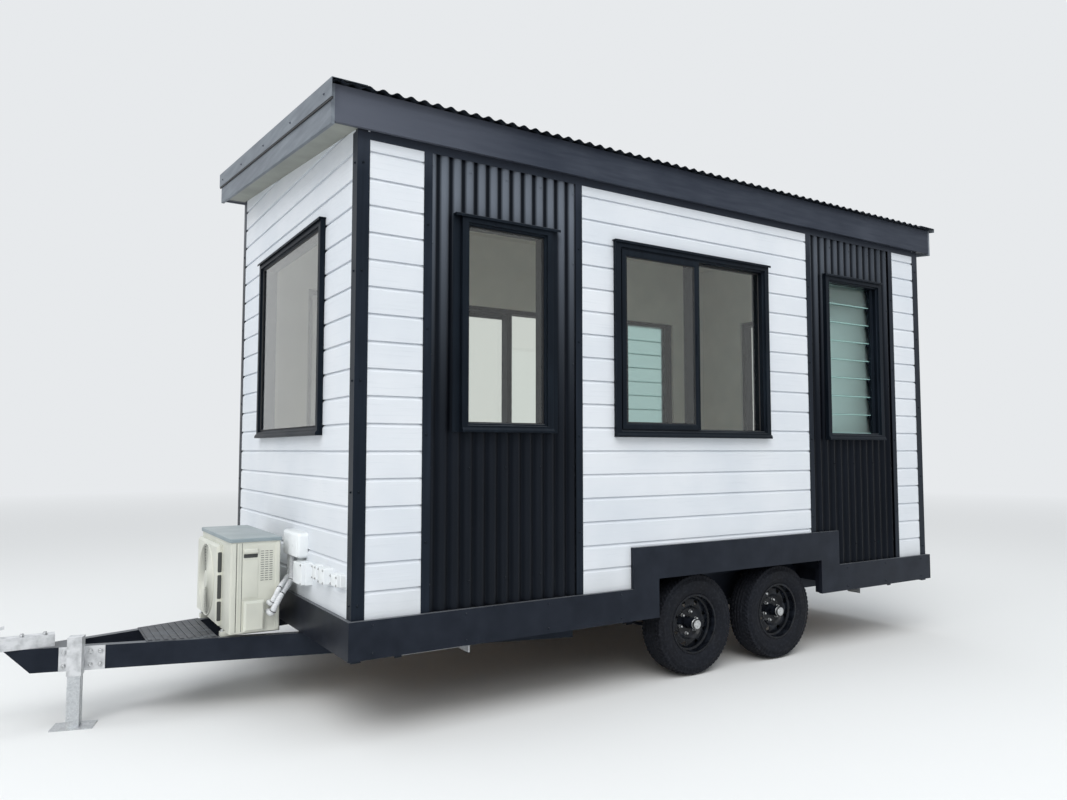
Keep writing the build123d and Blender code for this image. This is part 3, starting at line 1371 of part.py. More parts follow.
def line_set():
    """Lagged pipes from the unit's valves to the cover on the wall."""
    stand, cover_y0, cover_y1, cover_low, _ = PIPE_COVER
    face = CONDENSER_SIDES[0]
    valve_x = back(-CONDENSER_BACK[0] - VALVE_BACK)
    x_wall = back(0) - stand / 2
    pipes = []
    for radius, rise, share in zip(PIPE_RADII, VALVE_RISES, PIPE_PLACES):
        z = condenser_base() + rise
        y = face - VALVE_LENGTH
        step = 3 * radius
        y_wall = cover_y0 + (cover_y1 - cover_y0) * share
        stub = Cylinder(VALVE_SHARE * radius, VALVE_LENGTH, rotation=(90, 0, 0))
        stub = Pos(valve_x, face - VALVE_LENGTH / 2, z) * stub
        path = FilletPolyline(
            (valve_x, y, z),
            (valve_x, y - step, z),
            (valve_x + step, y - step, z + 2 * step),
            (x_wall, y_wall, z + 3 * step),
            (x_wall, y_wall, up(cover_low)),
            radius=PIPE_BENDS,
        )
        section = Plane(origin=path @ 0, z_dir=path % 0) * Circle(radius)
        pipes.append(sweep(section, path=path) + stub)
    return Compound(children=pipes)


def build():
    """Every sub-part by its name."""
    parts = {
        "floor_deck": floor_deck(),
        "chassis_frame": chassis_frame(),
        "drawbar_rails": drawbar_rails(),
        "coupling": coupling(),
        "drawbar_deck": drawbar_deck(),
        "jack_sleeve": jack_sleeve(),
        "jack_leg": jack_leg(),
        "end_skirts": end_skirts(),
        "wheel_boxes": wheel_boxes(),
        "axles": axles(),
        "springs": springs(),
        "steady_brackets": steady_brackets(),
        "end_boards": end_boards(),
        "corrugated_panels": corrugated_panels(),
        "corner_trims": corner_trims(),
        "panel_trims": panel_trims(),
        "wall_front": end_wall(0),
        "wall_rear": end_wall(1),
        "fixed_window_frame": fixed_window_frame(),
        "end_window_frames": end_window_frames(),
        "louvre_blades": louvre_blades(),
        "entry_door_frame": entry_door_frame(),
        "entry_door": entry_door(),
        "window_glass": window_glass(),
        "roof_sheet": roof_sheet(),
        "roof_panel": roof_panel(),
        "fascias": fascias(),
        "barge_boards": barge_boards(),
        "barge_cappings": barge_cappings(),
        "soffits": soffits(),
        "condenser_casing": condenser_casing(),
        "condenser_guard": condenser_guard(),
        "line_set": line_set(),
        "wall_boxes": wall_boxes(),
    }
    sliding = sliding_window_frame()
    louvre = louvre_window_frame()
    sliding_pair = []
    louvre_pair = []
    for name, side in SIDES:
        parts["skirt_" + name] = side_skirt(side)
        parts["wall_" + name] = side_wall(side)
        parts["boards_" + name] = side_boards(side)
        sliding_pair.append(place_side(SLIDING_WINDOW, side, sliding))
        louvre_pair.append(place_side(LOUVRE_WINDOW, side, louvre))
        for place, distance in zip(("front", "rear"), AXLES):
            parts["tyre_" + name + "_" + place] = tyre(distance, side)
            parts["rim_" + name + "_" + place] = rim(distance, side)
        for end, place in enumerate(("front", "rear")):
            parts["steady_" + name + "_" + place] = steady(end, side)
    parts["sliding_window_frames"] = Compound(children=sliding_pair)
    parts["louvre_window_frames"] = Compound(children=louvre_pair)
    return parts


def main():
    os.makedirs("parts", exist_ok=True)
    for name, shape in build().items():
        export_step(shape, "parts/" + name + ".step")


if __name__ == "__main__":
    main()
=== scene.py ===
# %% [markdown]
# # Tiny house on a tandem axle trailer
#
# This lesson dresses a small board clad house on wheels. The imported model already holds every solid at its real
# size, so each step here either gives a solid a finish, or lays a finer surface where the solid stands.
# Everything is in metres: -X is the towing end, -Y is the long wall with the wide window, and +Z is up.

# %% Load the frame
import math

import bpy
import numpy as np
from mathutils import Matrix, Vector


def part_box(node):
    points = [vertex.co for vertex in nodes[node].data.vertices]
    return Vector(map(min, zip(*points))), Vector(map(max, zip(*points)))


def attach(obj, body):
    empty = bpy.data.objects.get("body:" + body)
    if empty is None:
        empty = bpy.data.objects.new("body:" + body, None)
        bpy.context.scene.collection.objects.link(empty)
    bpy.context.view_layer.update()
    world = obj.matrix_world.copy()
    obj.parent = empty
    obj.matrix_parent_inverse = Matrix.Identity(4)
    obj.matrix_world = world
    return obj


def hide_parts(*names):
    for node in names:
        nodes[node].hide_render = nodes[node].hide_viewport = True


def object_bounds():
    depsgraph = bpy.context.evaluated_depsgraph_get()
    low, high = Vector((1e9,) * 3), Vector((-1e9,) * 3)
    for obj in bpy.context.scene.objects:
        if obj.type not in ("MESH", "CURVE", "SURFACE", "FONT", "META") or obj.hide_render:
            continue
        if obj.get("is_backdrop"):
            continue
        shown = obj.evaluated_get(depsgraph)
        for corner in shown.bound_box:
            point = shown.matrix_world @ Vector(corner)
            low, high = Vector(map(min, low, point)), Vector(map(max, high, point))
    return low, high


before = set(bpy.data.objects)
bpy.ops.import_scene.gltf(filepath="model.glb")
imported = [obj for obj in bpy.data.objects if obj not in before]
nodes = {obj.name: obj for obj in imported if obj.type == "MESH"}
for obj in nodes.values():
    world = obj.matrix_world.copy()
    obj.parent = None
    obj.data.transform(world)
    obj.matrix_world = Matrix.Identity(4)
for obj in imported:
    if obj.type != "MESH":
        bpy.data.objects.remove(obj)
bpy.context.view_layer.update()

# %% [markdown]
# ## Where the walls and the roof are
#
# A cladding piece has to sit exactly on its wall, so the main faces are read from the solids' own boxes rather than
# typed in again. The few numbers below are the ones that the boxes can't tell, such as a board's height. The board
# height is the spacing of the shadow lines on the walls, and it's the same on all four.

# %% Main faces and levels
near_low, near_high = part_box("boards_near")
far_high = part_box("boards_far")[1]
front_x, rear_x = near_low.x, near_high.x
middle_x, half_length = (front_x + rear_x) / 2, (rear_x - front_x) / 2
half_width = -near_low.y
board_edge = near_low.z
board_thickness, board_height = 0.020, 0.1393
roof_pitch = math.radians(6.2)
roof_slope = math.tan(roof_pitch)
sheet_low = board_edge + 2.655
cladding_top = -0.175
wave_pitch, wave_depth = 0.0762, 0.016
print("walls from x", round(front_x, 3), "to", round(rear_x, 3), "half width", round(half_width, 3))


def roof_height(y, off=0.0):
    """Height of the plane that lies off metres above the roof sheet's underside, at this y."""
    return sheet_low + (y + half_width) * roof_slope + off / math.cos(roof_pitch)


def from_front(distance):
    """X of a place this many metres behind the front wall's face."""
    return front_x + distance


def put(name, data):
    """A new object in the scene, at the origin."""
    made = bpy.data.objects.new(name, data)
    bpy.context.scene.collection.objects.link(made)
    return made


# %% [markdown]
# ## Camera, floor and light
#
# The view comes from solving where the lens must be for the wall corners, windows and wheels to land where they do.
# A fixed camera is placed by those numbers. The light is a soft overcast one: an
# even world and a wide cloud overhead do most of it, and two very broad suns give the faces their different tones,
# which is how a cloudy sky treats a house. The floor is a plain pale plane that fades into the backdrop, so that no
# horizon cuts the picture.

# %% Camera
camera = put("camera", bpy.data.cameras.new("camera"))
camera.location = (-3.00445, -5.0883, 1.4448)
camera.rotation_euler = [math.radians(a) for a in (93.566, 0.0, -32.4093)]
camera.data.sensor_width, camera.data.lens, camera.data.clip_end = 36.0, 27.176, 400.0
bpy.context.scene.camera = camera
print("camera lens", camera.data.lens)


# %% Lamps
def lamp(name, kind, energy, colour, turns=(0, 0, 0), **settings):
    """A lamp of some strength and colour, turned by so many degrees about X, Y and Z."""
    made = put(name, bpy.data.lights.new(name, kind))
    made.rotation_euler = [math.radians(a) for a in turns]
    for key, value in {"energy": energy, "color": colour, **settings}.items():
        setattr(made.data, key, value)
    return made


daylight = (0.94, 0.97, 1.0)
lamp("sun", "SUN", 1.0, (1.0, 0.985, 0.96), (48, -14, -28), angle=math.radians(40))
lamp("sky_ahead", "SUN", 0.45, daylight, (0, -66, 12), angle=math.radians(90))
cloud = lamp("cloud", "AREA", 900.0, daylight, shape="RECTANGLE", size=16.0, size_y=14.0)
cloud.location = (-2.0, -3.0, 9.0)
bpy.context.scene.view_settings.view_transform = "Standard"


# %% One call for every shader node
class Tree:
    """The nodes of a world or a material, with one call that adds a node and fills its inputs."""

    def __init__(self, holder, clear=True):
        holder.use_nodes = True
        self.tree = holder.node_tree
        if clear:
            self.tree.nodes.clear()

    def fill(self, socket, value):
        """Gives an input a plain value, or links it to an output. A node stands for its first output."""
        value = value.outputs[0] if isinstance(value, bpy.types.Node) else value
        if isinstance(value, bpy.types.NodeSocket):
            self.tree.links.new(value, socket)
        else:
            socket.default_value = value

    def node(self, kind, inputs=None, **settings):
        """Adds a node with its settings, and fills the inputs that are named or numbered in inputs."""
        made = self.tree.nodes.new("ShaderNode" + kind)
        for key, value in settings.items():
            setattr(made, key, value)
        for key, value in (inputs or {}).items():
            self.fill(made.inputs[key], value)
        return made


# %% World: an even sky that lights the scene, and a plain backdrop wherever it's looked at
backdrop = (0.80, 0.82, 0.84, 1.0)
bpy.context.scene.world = bpy.data.worlds.new("overcast")
sky = Tree(bpy.context.scene.world)
rays = sky.node("LightPath").outputs
seen = sky.node("Math", {0: rays["Is Camera Ray"], 1: rays["Is Glossy Ray"]}, operation="MAXIMUM")
seen = sky.node("Math", {0: seen, 1: rays["Is Transmission Ray"]}, operation="MAXIMUM")
even_sky = sky.node("Background", {"Color": (0.90, 0.95, 1.0, 1.0), "Strength": 0.50})
plain = sky.node("Background", {"Color": backdrop})
sky.node("OutputWorld", {"Surface": sky.node("MixShader", {"Fac": seen, 1: even_sky, 2: plain})})

# %% Floor
reach = 150.0
floor_mesh = bpy.data.meshes.new("floor")
corners = [(-reach, -reach, 0), (reach, -reach, 0), (reach, reach, 0), (-reach, reach, 0)]
floor_mesh.from_pydata(corners, [], [(0, 1, 2, 3)])
floor = put("floor", floor_mesh)
floor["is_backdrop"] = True
floor_paint = bpy.data.materials.new("pale_floor")
ground = Tree(floor_paint)
away = ground.node("VectorMath", {0: ground.node("TexCoord").outputs["Object"]}, operation="LENGTH").outputs["Value"]
fade = ground.node("MapRange", {"Value": away, "From Min": 5.0, "From Max": 26.0})
matt = ground.node("BsdfDiffuse", {"Color": (0.80, 0.80, 0.79, 1.0)})
glow = ground.node("Emission", {"Color": backdrop})
ground.node("OutputMaterial", {"Surface": ground.node("MixShader", {"Fac": fade, 1: matt, 2: glow})})
floor_mesh.materials.append(floor_paint)

# %% [markdown]
# ## Finishes
#
# A real finish is never one colour. Paint carries dust, sheet metal has long soft variations from rolling, rubber is
# greyer where dust has settled, and wood shows its grain. Each finish here starts from one small recipe: a pair of
# colours mixed by noise, a roughness that wanders between two values, and a fine bump. Noise that is stretched along
# one axis gives grain or rolling marks. Upward faces take on dust through the surface's own normal, which stays true
# from every side. Colours are written as screen values from 0 to 255.

# %% The common recipe
even = (1, 1, 1)


def linear(red, green, blue):
    """Turns screen values from 0 to 255 into the linear colour that a shader wants."""
    share = np.array([red, green, blue]) / 255.0
    value = np.where(share <= 0.04045, share / 12.92, ((share + 0.055) / 1.055) ** 2.4)
    return (*[float(v) for v in value], 1.0)


class Finish(Tree):
    """A material with its shader at hand, and short calls for the patterns that the finishes share."""

    def __init__(self, name, metallic=0.0):
        self.material = bpy.data.materials.new(name)
        super().__init__(self.material, clear=False)
        self.shader = self.tree.nodes["Principled BSDF"]
        self.set(Metallic=metallic)
        self.place = self.node("TexCoord").outputs["Object"]
        self.x, self.y, self.z = self.node("SeparateXYZ", {0: self.place}).outputs

    def set(self, **inputs):
        """Fills inputs of the shader itself. An underscore stands for the space in an input's name."""
        for key, value in inputs.items():
            self.fill(self.shader.inputs[key.replace("_", " ")], value)

    def noise(self, scale, stretch=even, detail=4.0, place=None):
        """Noise from 0 to 1 with that many blotches a metre, stretched along the axes with a small factor."""
        mapping = self.node("Mapping", {"Vector": place or self.place, "Scale": stretch})
        return self.node("TexNoise", {"Vector": mapping, "Scale": scale, "Detail": detail}).outputs["Fac"]

    def spread(self, value, low, high, start=0.0, end=1.0):
        """Maps a value from low..high onto start..end, and holds it there."""
        ends = {"From Min": low, "From Max": high, "To Min": start, "To Max": end}
        return self.node("MapRange", {"Value": value, **ends})

    def maths(self, how, *values):
        """Joins values by ADD, MULTIPLY and so on, from the left. A single value is changed by itself."""
        result = values[0]
        for value in values[1:] or (0.0,):
            result = self.node("Math", {0: result, 1: value}, operation=how)
        return result

    def past(self, axis, start, soft=0.002, middle=0.0):
        """0 within start metres of the middle along an axis, rising to 1 over the next soft metres."""
        away = self.maths("ABSOLUTE", self.maths("SUBTRACT", axis, middle))
        return self.spread(away, start, start + soft)

    def upward(self):
        """1 on faces that look up, 0 on upright ones."""
        normal = self.node("NewGeometry").outputs["Normal"]
        return self.spread(self.node("SeparateXYZ", {0: normal}).outputs["Z"], 0.55, 0.95)

    def mix(self, share, first, second):
        """Colour between two, by a share from 0 to 1."""
        return self.node("Mix", {"Factor": share, "A": first, "B": second}, data_type="RGBA").outputs["Result"]

    def tones(self, value, between, first, second):
        """The ground colour: the first tone below the two values of between, the second above them."""
        self.set(Base_Color=self.mix(self.spread(value, *between), linear(*first), linear(*second)))

    def over(self, share, tone):
        """Lays another tone over the present colour, by a share from 0 to 1."""
        present = self.shader.inputs["Base Color"].links[0].from_socket
        self.set(Base_Color=self.mix(share, present, linear(*tone)))

    def rough(self, value, low, high):
        """Roughness that wanders from low to high with a noise."""
        self.set(Roughness=self.spread(value, 0.3, 0.7, low, high))

    def bump(self, value, depth, strength):
        """Raises the surface by depth metres where the value is 1, on top of an earlier bump."""
        old = self.shader.inputs["Normal"].links
        below = {"Normal": old[0].from_socket} if old else {}
        self.set(Normal=self.node("Bump", {"Distance": depth, "Strength": strength, "Height": value, **below}))


# %% [markdown]
# ### Painted boards
#
# The boards are factory primed and painted white, with a woodgrain pressed into them. Grain is noise squeezed hard
# across the board and left long along it. On the long walls a board runs along X and on the end walls along Y, so
# both directions are left long and only Z is squeezed. Each board gets its own piece of that noise: the board's
# number, from its height above the bottom edge, feeds a white noise that shifts the pattern sideways. The boards'
# ends behind the corner trims are painted dark, a painted shade for the gap, so that no pale line shows past a trim.

# %% Board paint
boards = Finish("white_board_paint")
number = boards.maths("FLOOR", boards.maths("DIVIDE", boards.maths("SUBTRACT", boards.z, board_edge), board_height))
own = boards.node("TexWhiteNoise", {"W": number}, noise_dimensions="1D").outputs
moved_place = {0: own["Color"], 1: (9.0, 9.0, 0.0), 2: boards.place}
board_place = boards.node("VectorMath", moved_place, operation="MULTIPLY_ADD").outputs[0]
long_grain = boards.noise(9.0, (0.35, 0.35, 11.0), 6.0, board_place)
fine_grain = boards.noise(42.0, (0.12, 0.12, 6.0), 3.0, board_place)
clouds = boards.noise(1.6, even, 3.0)
splash_height, corner_cover, end_cover = 0.30, 0.034, 0.056
splash = boards.maths("MULTIPLY", boards.spread(boards.z, board_edge + splash_height, board_edge), clouds)
trim_gap_shade_side = boards.past(boards.y, half_width - corner_cover)
trim_gap_shade_end = boards.past(boards.x, half_length - end_cover, middle=middle_x)
boards.tones(clouds, (0.35, 0.7), (226, 229, 233), (213, 218, 224))
boards.over(boards.spread(long_grain, 0.58, 0.80, 0.0, 0.30), (188, 194, 201))
boards.over(boards.spread(own["Value"], 0.0, 1.0, 0.0, 0.22), (208, 214, 221))
boards.over(boards.spread(splash, 0.22, 0.85, 0.0, 0.45), (168, 166, 158))
# Painted shade: the boards' ends behind the corner trims are drawn dark.
boards.over(boards.maths("MULTIPLY", trim_gap_shade_side, trim_gap_shade_end), (34, 38, 46))
boards.rough(clouds, 0.42, 0.60)
boards.bump(long_grain, 0.0011, 0.75)
boards.bump(fine_grain, 0.0005, 0.6)

# %% [markdown]
# ### Dark pre-painted steel and aluminium
#
# Corrugated sheet, folded trims and the window frames are all one dark blue grey, but they age apart. Rolled sheet
# has a soft sheen with faint streaks where rain ran down, folded trim is a little smoother, and powder coated
# aluminium has a tiny pebbled texture. On the walls the crests of the waves are painted lighter, most of all high up
# and towards the front: a painted reflection of the sky. The trims are painted paler near the roof and the fascia
# towards the front corner, the same painted sky reflection, and the barge boards with their cappings take a lighter
# copy of the fascia's paint, a painted reflection of the sky on the front end.


# %% Dark sheet, trims, fascia, frames
def dark_metal(name, tint, dusty, low, high, streak=(6.0, 6.0, 0.35), pebble=0.00004, shine=0.22, dust=(104, 107, 111)):
    """Pre-painted metal: one tint and a dustier one mixed by long streaks, roughness wandering from low to high."""
    finish = Finish(name)
    finish.set(Specular_IOR_Level=shine, Specular_Tint=(0.62, 0.78, 1.0, 1.0))
    clouds = finish.noise(2.3)
    finish.tones(finish.maths("MULTIPLY", finish.noise(7.0, streak, 5.0), clouds), (0.14, 0.42), tint, dusty)
    finish.over(finish.maths("MULTIPLY", finish.upward(), finish.spread(clouds, 0.3, 0.7, 0.45, 0.95)), dust)
    finish.rough(clouds, low, high)
    finish.bump(finish.noise(900.0, even, 2.0), pebble, 0.5)
    return finish


dark_sheet = dark_metal("dark_sheet_steel", (5, 6, 10), (11, 13, 19), 0.28, 0.42, shine=0.12)
roof_steel = dark_metal("dark_roof_steel", (18, 22, 28), (44, 48, 54), 0.36, 0.54, (5.0, 0.4, 5.0), dust=(70, 74, 80))
trim_steel = dark_metal("dark_trim_steel", (12, 17, 24), (25, 30, 39), 0.34, 0.50)
fascia_paint = dark_metal("fascia_paint_and_sky_reflection", (43, 47, 57), (60, 64, 73), 0.46, 0.60, (0.5, 3.0, 5.0))
# Painted sky reflection: the barge boards and cappings take the fascia's paint in lighter tones.
barge_sky_lit_paint = dark_metal("barge_paint_sky_reflection", (104, 109, 116), (130, 136, 142), 0.46, 0.60, (3.0, 0.5, 5.0))
frame_coat = dark_metal("powder_coat", (8, 12, 18), (19, 25, 32), 0.40, 0.52, pebble=0.00008, shine=0.16)
chassis_paint = dark_metal("chassis_paint", (20, 22, 29), (34, 37, 45), 0.32, 0.50, (1.2, 1.2, 1.2))

# Painted sky reflection: the wall waves' crests are painted lighter, most high up and towards the front.
crest = dark_sheet.past(dark_sheet.y, half_width - 0.0175, 0.008)
glint_towards_front = dark_sheet.spread(dark_sheet.x, from_front(2.0), from_front(4.4), 1.0, 0.35)
glint_high_up = dark_sheet.spread(dark_sheet.z, board_edge + 0.9, board_edge + 2.25)
glint_high_up = dark_sheet.maths("ADD", dark_sheet.maths("MULTIPLY", glint_high_up, glint_high_up), 0.04)
dark_sheet.over(dark_sheet.maths("MULTIPLY", crest, glint_towards_front, glint_high_up), (102, 108, 117))
# Painted sky reflection: the trims are painted paler near the roof.
trim_steel.over(trim_steel.spread(trim_steel.z, board_edge + 2.25, board_edge + 2.60, 0.0, 0.8), (66, 70, 80))
# Painted sky reflection: the fascia is painted paler towards the front corner.
fascia_paint.over(fascia_paint.spread(fascia_paint.x, from_front(1.1), from_front(-0.1), 0.0, 0.75), (94, 97, 107))

# %% [markdown]
# ### Galvanised steel, rubber and the rest
#
# Hot dip zinc crystallises into flat flakes of slightly different brightness. A Voronoi pattern has exactly that
# look: each cell takes one tone, and the cell's roughness follows. Tyre rubber is a nearly black diffuse surface
# with grey dust that a fine noise scatters. The lagging round the pipes is a white plastic film with soft wrinkles.
# The floor sheet's outer edge shows between cladding and chassis, where it's painted dark: painted shade for that gap.

# %% Step plate rubbed through by boots, galvanised steel and tyre rubber
worn_plate = Finish("worn_step_plate", 0.35)
scrape, grime = worn_plate.noise(9.0, (0.6, 3.5, 1.0), 6.0), worn_plate.noise(30.0)
worn_plate.tones(scrape, (0.42, 0.66), (44, 47, 54), (92, 96, 101))
worn_plate.over(worn_plate.spread(grime, 0.5, 0.75, 0.0, 0.6), (36, 38, 42))
worn_plate.rough(scrape, 0.36, 0.62)
worn_plate.bump(grime, 0.0003, 0.6)

zinc = Finish("galvanised_steel", 0.85)
flakes = zinc.node("TexVoronoi", {"Vector": zinc.place, "Scale": 130.0}).outputs["Color"]
flake, sheen = zinc.node("SeparateColor", {0: flakes}).outputs[:2]
stain = zinc.noise(14.0)
zinc.tones(flake, (0.0, 1.0), (184, 187, 190), (203, 206, 208))
zinc.over(zinc.spread(stain, 0.52, 0.78, 0.0, 0.5), (156, 152, 145))
zinc.rough(sheen, 0.30, 0.55)
zinc.bump(stain, 0.0003, 0.5)

rubber = Finish("tyre_rubber")
grit, patches = rubber.noise(60.0, even, 6.0), rubber.noise(7.0)
rubber.tones(patches, (0.3, 0.7), (13, 15, 21), (22, 25, 32))
rubber.over(rubber.spread(grit, 0.48, 0.78, 0.0, 0.45), (52, 54, 61))
rubber.rough(patches, 0.62, 0.85)
rubber.bump(grit, 0.0004, 0.6)
rubber.set(Specular_IOR_Level=0.18)


# %% Finishes that need one noise only
def patterned(name, noise, between, first, second, sheen, relief=None, metallic=0.0, **inputs):
    """A finish from one noise: it picks between two tones, and roughness and relief follow it."""
    finish = Finish(name, metallic)
    pattern = finish.noise(*noise)
    finish.tones(pattern, between, first, second)
    finish.rough(pattern, *sheen)
    if relief:
        finish.bump(pattern, *relief)
    finish.set(**inputs)
    return finish


all_noise = (0.0, 1.0)
bright_zinc = patterned(
    "bright_zinc", (26.0,), (0.4, 0.72), (214, 215, 217), (176, 178, 180), (0.34, 0.58), (0.0005, 0.6), 0.25
)
rim_gloss = patterned(
    "black_rim_gloss", (22.0,), (0.45, 0.75), (11, 14, 20), (28, 32, 40), (0.16, 0.42),
    Coat_Weight=0.14, Coat_Roughness=0.12, Specular_IOR_Level=0.16,
)
nut_plate = patterned(
    "plated_nuts", (160.0,), (0.4, 0.7), (206, 208, 210), (150, 150, 148), (0.18, 0.45), metallic=1.0
)
lagging = patterned(
    "pipe_lagging", (70.0, (1.0, 1.0, 2.2), 5.0), (0.35, 0.7), (226, 227, 228), (193, 196, 199), (0.36, 0.55),
    (0.0022, 0.8),
)
seal_rubber = patterned("glazing_seal", (120.0,), all_noise, (16, 17, 19), (30, 31, 33), (0.5, 0.7))
glass_edge = patterned(
    "polished_glass_edge", (30.0, even, 3.0), all_noise, (176, 214, 208), (146, 190, 184), (0.18, 0.34)
)
ply = patterned(
    "floor_plywood", (6.0, (0.25, 3.0, 3.0), 6.0), (0.3, 0.7), (176, 142, 98), (146, 112, 72), (0.5, 0.7), (0.0004, 0.6)
)
gap_shade_width = 0.060
ply_gap_shade = (
    ply.past(ply.y, half_width - gap_shade_width, 0.005), ply.past(ply.x, half_length - gap_shade_width, 0.005, middle_x)
)
# Painted shade: the floor sheet's outer 60 mm, seen in the gap under the cladding, is painted dark.
ply.over(ply.maths("MAXIMUM", *ply_gap_shade), (20, 22, 28))


# %% Plastics, painted casings and lining
def moulded(name, tint, aged, low, high):
    """Moulded plastic or painted casing: two near tints, a soft sheen and a fine pressed texture."""
    finish = Finish(name)
    clouds = finish.noise(5.0)
    finish.tones(clouds, (0.3, 0.7), tint, aged)
    finish.over(finish.maths("MULTIPLY", finish.upward(), 0.35), (178, 182, 180))
    finish.rough(clouds, low, high)
    finish.bump(finish.noise(1100.0, even, 2.0), 0.00006, 0.5)
    return finish


casing_cream = moulded("casing_cream", (214, 214, 202), (203, 204, 193), 0.36, 0.50)
lid_paint = moulded("lid_paint", (140, 152, 156), (128, 141, 145), 0.38, 0.52)
box_white = moulded("box_white", (238, 241, 242), (226, 229, 231), 0.34, 0.46)
slot_dark = moulded("slot_shadow", (58, 60, 60), (70, 72, 70), 0.55, 0.7)
lining_paint = moulded("lining_paint", (240, 240, 236), (229, 230, 226), 0.55, 0.7)
# Painted shade: the white soffit is painted grey for the shade under the eaves, and dark wherever it lies behind the
# front wall's face or out past a side wall.
soffit_painted_shade = moulded("soffit_painted_shade", (150, 152, 144), (138, 141, 134), 0.55, 0.7)
soffit_gap_shade_side = soffit_painted_shade.past(soffit_painted_shade.y, half_width - 0.004)
soffit_gap_shade_end = soffit_painted_shade.spread(soffit_painted_shade.x, from_front(0.001), from_front(0.003))
soffit_painted_shade.over(soffit_painted_shade.maths("MAXIMUM", soffit_gap_shade_side, soffit_gap_shade_end), (52, 57, 66))

# %% [markdown]
# ### Glass
#
# Window glass is a real refracting sheet here, with a faint tint and a very slight waviness that breaks its
# reflections up. Refracting glass would also throw a black shadow, because the lamps can't find their way through
# it, so for shadow rays alone the pane turns transparent and daylight reaches the room. The louvre blades are
# obscure glass: the same sheet with a rolled texture, so that they scatter what's behind them.


# %% Clear and obscure glass
def glass(name, tint, roughness, ripple, ripple_scale):
    """Refracting glass whose shadow lets the light through."""
    finish = Finish(name)
    tint = linear(*tint)
    finish.set(Base_Color=tint, Roughness=roughness, Transmission_Weight=1.0, IOR=1.5, Specular_IOR_Level=0.12)
    finish.bump(finish.noise(ripple_scale, even, 2.0), ripple, 0.5)
    shadow = finish.node("LightPath").outputs["Is Shadow Ray"]
    clear = finish.node("BsdfTransparent", {"Color": tint})
    chooser = finish.node("MixShader", {"Fac": shadow, 1: finish.shader, 2: clear})
    finish.fill(finish.tree.nodes["Material Output"].inputs["Surface"], chooser)
    return finish


clear_glass = glass("clear_glass", (240, 242, 237), 0.02, 0.0004, 3.0)
obscure_glass = glass("obscure_glass", (178, 210, 208), 0.32, 0.0012, 140.0)
print("finishes:", len(bpy.data.materials))

# %% [markdown]
# ## From arrays to pieces
#
# Every new piece below is a grid of points, worked out as a whole array. A grid becomes faces by numbering its points
# and joining each one to its neighbours, which numpy does in one step. Two joiners are enough: `skin` for a profile
# carried along a path, and `sheet_of` for a sheet that has an outer side, an inner side and openings cut through.
# Which way the faces look is settled at the end by the signed volume, so a mirrored piece can't come out inside out.


# %% Joining grids of points into faces
def skin(grid, wrap_rows=False, wrap_columns=False, caps=False):
    """Quads between the neighbours of a rows by columns grid of points. Wrapping joins the last line to the first,
    and caps close the first and last rows with one flat face each."""
    rows, columns = grid.shape[:2]
    number = np.arange(rows * columns).reshape(rows, columns)
    line = np.vstack([number, number[:1]]) if wrap_rows else number
    line = np.hstack([line, line[:, :1]]) if wrap_columns else line
    quads = np.stack([line[:-1, :-1], line[:-1, 1:], line[1:, 1:], line[1:, :-1]], -1).reshape(-1, 4)
    ends = [number[:1, ::-1], number[-1:, :]] if caps else []
    return grid.reshape(-1, 3), [quads, *ends]


def sheet_of(outer, inner, kept, wrap=False):
    """Closed sheet between two grids of points. Each kept cell gives a face on both sides, and a face closes the edge
    wherever a kept cell meets an empty one or the border. With wrap, the last column's cells join the first's."""
    rows, columns = outer.shape[:2]
    step = rows * columns
    number = np.arange(step).reshape(rows, columns)
    if wrap:
        number = np.hstack([number, number[:, :1]])
    a, b, c, d = number[:-1, :-1], number[:-1, 1:], number[1:, 1:], number[1:, :-1]
    faces = [np.stack([a, b, c, d], -1)[kept], (np.stack([d, c, b, a], -1) + step)[kept]]
    rim = np.pad(kept, ((1, 1), (0, 0)))
    sides = np.pad(kept, ((0, 0), (1, 1)), mode="wrap" if wrap else "constant")
    left, right = (sides[:, :-2], kept) if wrap else (sides[:, :-1], sides[:, 1:])
    along = (number[:, :-1], number[:, 1:])
    across = (number[:-1, :-1], number[1:, :-1]) if wrap else (number[:-1], number[1:])
    for (p, q), first, second in ((along, rim[1:], rim[:-1]), (across, left, right)):
        faces.append(np.stack([q, p, p + step, q + step], -1)[first & ~second])
        faces.append(np.stack([p, q, q + step, p + step], -1)[second & ~first])
    points = np.concatenate([outer.reshape(-1, 3), inner.reshape(-1, 3)])
    used, faces = np.unique(np.concatenate(faces), return_inverse=True)
    return points[used], [faces.reshape(-1, 4)]


def volume(points, groups):
    """Signed volume inside the faces: the sum over triangles of a . (b x c) / 6. It's positive when faces look out."""
    total = 0.0
    for group in groups:
        for corner in range(1, group.shape[1] - 1):
            a, b, c = points[group[:, 0]], points[group[:, corner]], points[group[:, corner + 1]]
            total += np.einsum("ij,ij->i", a, np.cross(b, c)).sum() / 6
    return total


def heap(parts):
    """Several parts, each its points and faces, as one part whose faces all look out."""
    points, groups, start = [], [], 0
    for place, faces in parts:
        turn = -1 if volume(place - place.mean(0), faces) < 0 else 1
        points.append(place)
        groups += [group[:, ::turn] + start for group in faces]
        start += len(place)
    return np.concatenate(points), groups


def moved(part, by):
    """The same part in another place."""
    return part[0] + by, part[1]


def mirrored(part):
    """The same part on the other side of the centre line."""
    return part[0] * [1, -1, 1], [group[:, ::-1] for group in part[1]]


def both_sides(parts):
    """Parts of the near side together with their mirror images."""
    return parts + [mirrored(part) for part in parts]


shown_faces = {}


